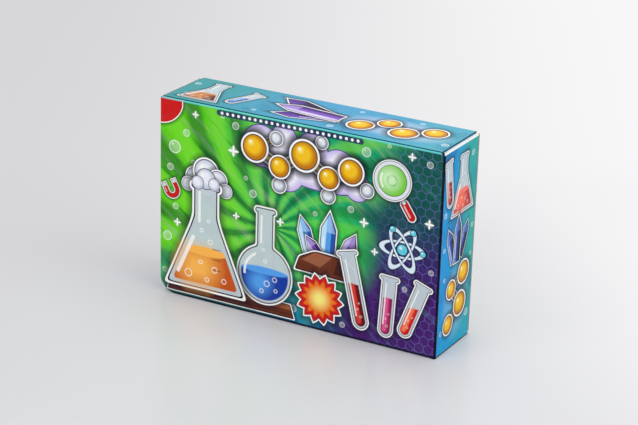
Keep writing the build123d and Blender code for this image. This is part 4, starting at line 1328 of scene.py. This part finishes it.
def crystal_bed(node):
    """Pointed crystals that fill the jar, leaning every way."""
    low, high, (_, y, z) = node_box(node)
    middle, chance = Vector((0, y, z)), Random(7)
    radius = (high.z - low.z) / 2 - 0.1
    made = []
    while len(made) < 130:
        turn, far = chance.uniform(0, 2 * pi), radius * chance.uniform(0, 1) ** 0.5
        core = middle + Vector((chance.uniform(low.x, high.x), far * cos(turn), far * sin(turn)))
        way = Vector([chance.uniform(-1, 1) for _ in range(3)]).normalized()
        side = way.orthogonal().normalized()
        other = way.cross(side)
        length, wide = chance.uniform(4, 9), chance.uniform(1.4, 2.6)
        around = [(side * cos(pi / 3 * k) + other * sin(pi / 3 * k)) * wide for k in range(6)]
        points = [core + way * length * 0.5, core - way * length * 0.5]
        for rise in (0.28, -0.28):
            points += [core + way * length * rise + out for out in around]
        if any((p - middle).yz.length > radius or not low.x < p.x < high.x for p in points):
            continue
        faces = []
        for k in range(6):
            m = (k + 1) % 6
            faces += [(0, 2 + k, 2 + m), (1, 8 + m, 8 + k), (2 + k, 8 + k, 8 + m, 2 + m)]
        made.append((points, faces))
    return added(*made)


kit_piece("crystal_bed", "growing_crystals", crystal_bed("growing_crystals"))

low, high, (_, _, z) = node_box("measuring_spoon")
cup_x = high.x - 7.5
kit_piece("spoon", "measuring_spoon", added(
    turned(SPOON_CUP, lambda a, b, h: (cup_x + a, high.y - h, z + b), 0.5),
    slab((low.x, low.y, z - 3.5), (cup_x - 6.9, low.y + 2, z + 3.5), 0.8),
    slab((low.x + 8, low.y + 1.2, z - 0.8), (cup_x - 7.2, low.y + 2.8, z + 0.8), 0.5),
))


# ---- studio ----
def studio():
    """A pale seamless sweep whose painted light, seen by camera, glossy and transmission rays,
    grows brighter towards the right and the top.
    """
    g = Graph("studio_paper")
    path = g.node("LightPath").outputs
    mirrored = g.sum("MAXIMUM", path["Is Glossy Ray"], path["Is Transmission Ray"])
    seen = g.sum("MAXIMUM", path["Is Camera Ray"], mirrored)
    paper = g.mix(g.noise(0.004, 2.0), rgb(214, 214, 216), rgb(208, 208, 210))
    g.set(Base_Color=paper, Roughness=0.26, Specular_IOR_Level=0.5)
    # Along the floor: across the picture, and away from the camera.
    across, behind = g.dot(g.where, 0.877, 0.481, 0), g.dot(g.where, -0.481, 0.877, 0)
    # painted light: an emission whose colour and share rise towards the right and further back, in
    # place of the lamps' fall-off on the sweep
    tone = g.mix(g.ramp(across, -420, 480), rgb(216, 215, 218), rgb(250, 250, 251))
    painted_glow = g.node("Emission", {"Color": tone, "Strength": 1.0})
    right = g.ramp(g.sum("MULTIPLY_ADD", behind, 0.35, across), 40, 400, 0.0, 0.85)
    share = g.sum("MAXIMUM", g.ramp(behind, -140, 500, 0.05, 0.93), right)
    both = g.node("MixShader", {0: g.sum("MULTIPLY", seen, share), 1: g.bsdf.outputs[0],
                                2: painted_glow.outputs[0]})
    g.put(g.output.inputs["Surface"], both.outputs[0])
    half, front, back, top, bend = 3600, -2600, 2400, 3400, 900
    profile = [(front, 0), (back - bend, 0)]
    for a in (pi / 2 * k / 12 for k in range(1, 13)):
        profile.append((back - bend + bend * sin(a), bend * (1 - cos(a))))
    profile.append((back, top))
    points = [(x, y, z) for y, z in profile for x in (-half, half)]
    faces = [(i, i + 1, i + 3, i + 2) for i in range(0, len(points) - 2, 2)]
    mesh_piece("studio_sweep", points, faces, [0] * len(faces), [g.material])


def area(name, place, width, height, power):
    """A rectangular lamp that looks at the case."""
    light = bpy.data.lights.new(name, "AREA")
    light.shape, light.size, light.size_y = "RECTANGLE", width, height
    light.energy = power
    lamp = bpy.data.objects.new(name, light)
    lamp.location = place
    aim = Vector((0, 0, 0.1)) - Vector(place)
    lamp.rotation_euler = aim.to_track_quat("-Z", "Y").to_euler()
    bpy.context.scene.collection.objects.link(lamp)


def sky(light=0.46):
    """The camera sees the sky beside the sweep at twice the strength that lights the case."""
    world = bpy.data.worlds.new("studio")
    bpy.context.scene.world = world
    world.use_nodes = True
    g, shown = Nodes(world.node_tree), world.node_tree.nodes["Background"]
    g.put(shown.inputs["Color"], rgb(236, 238, 242))
    seen = g.node("LightPath").outputs["Is Camera Ray"]
    g.put(shown.inputs["Strength"], g.sum("MULTIPLY_ADD", seen, light, light))


def camera():
    """From a fit to the case's corners."""
    azimuth, elevation, roll = radians(28.76), radians(20.71), radians(-1.68)
    back = Vector((sin(azimuth) * cos(elevation), -cos(azimuth) * cos(elevation), sin(elevation)))
    right = (-back).cross(Vector(Z)).normalized()
    down = (-back).cross(right)
    across = right * cos(roll) + down * sin(roll)
    lens = bpy.data.cameras.new("camera")
    lens.sensor_width, lens.lens = 36.0, 118.63
    lens.clip_end = 50.0
    body = bpy.data.objects.new("camera", lens)
    facing = Matrix((across, back.cross(across), back)).transposed().to_4x4()
    body.matrix_world = Matrix.Translation((0.8964, -1.6242, 0.8028)) @ facing
    bpy.context.scene.collection.objects.link(body)
    bpy.context.scene.camera = body


studio()
area("overhead", (0.2, 0.2, 1.9), 1.8, 1.4, 17.5)
area("right_window", (1.65, -0.3, 1.25), 1.7, 1.7, 19)
area("front_fill", (-0.9, -1.9, 0.9), 1.4, 1.2, 19)
sky()
camera()
bpy.context.scene.view_settings.view_transform = "Standard"
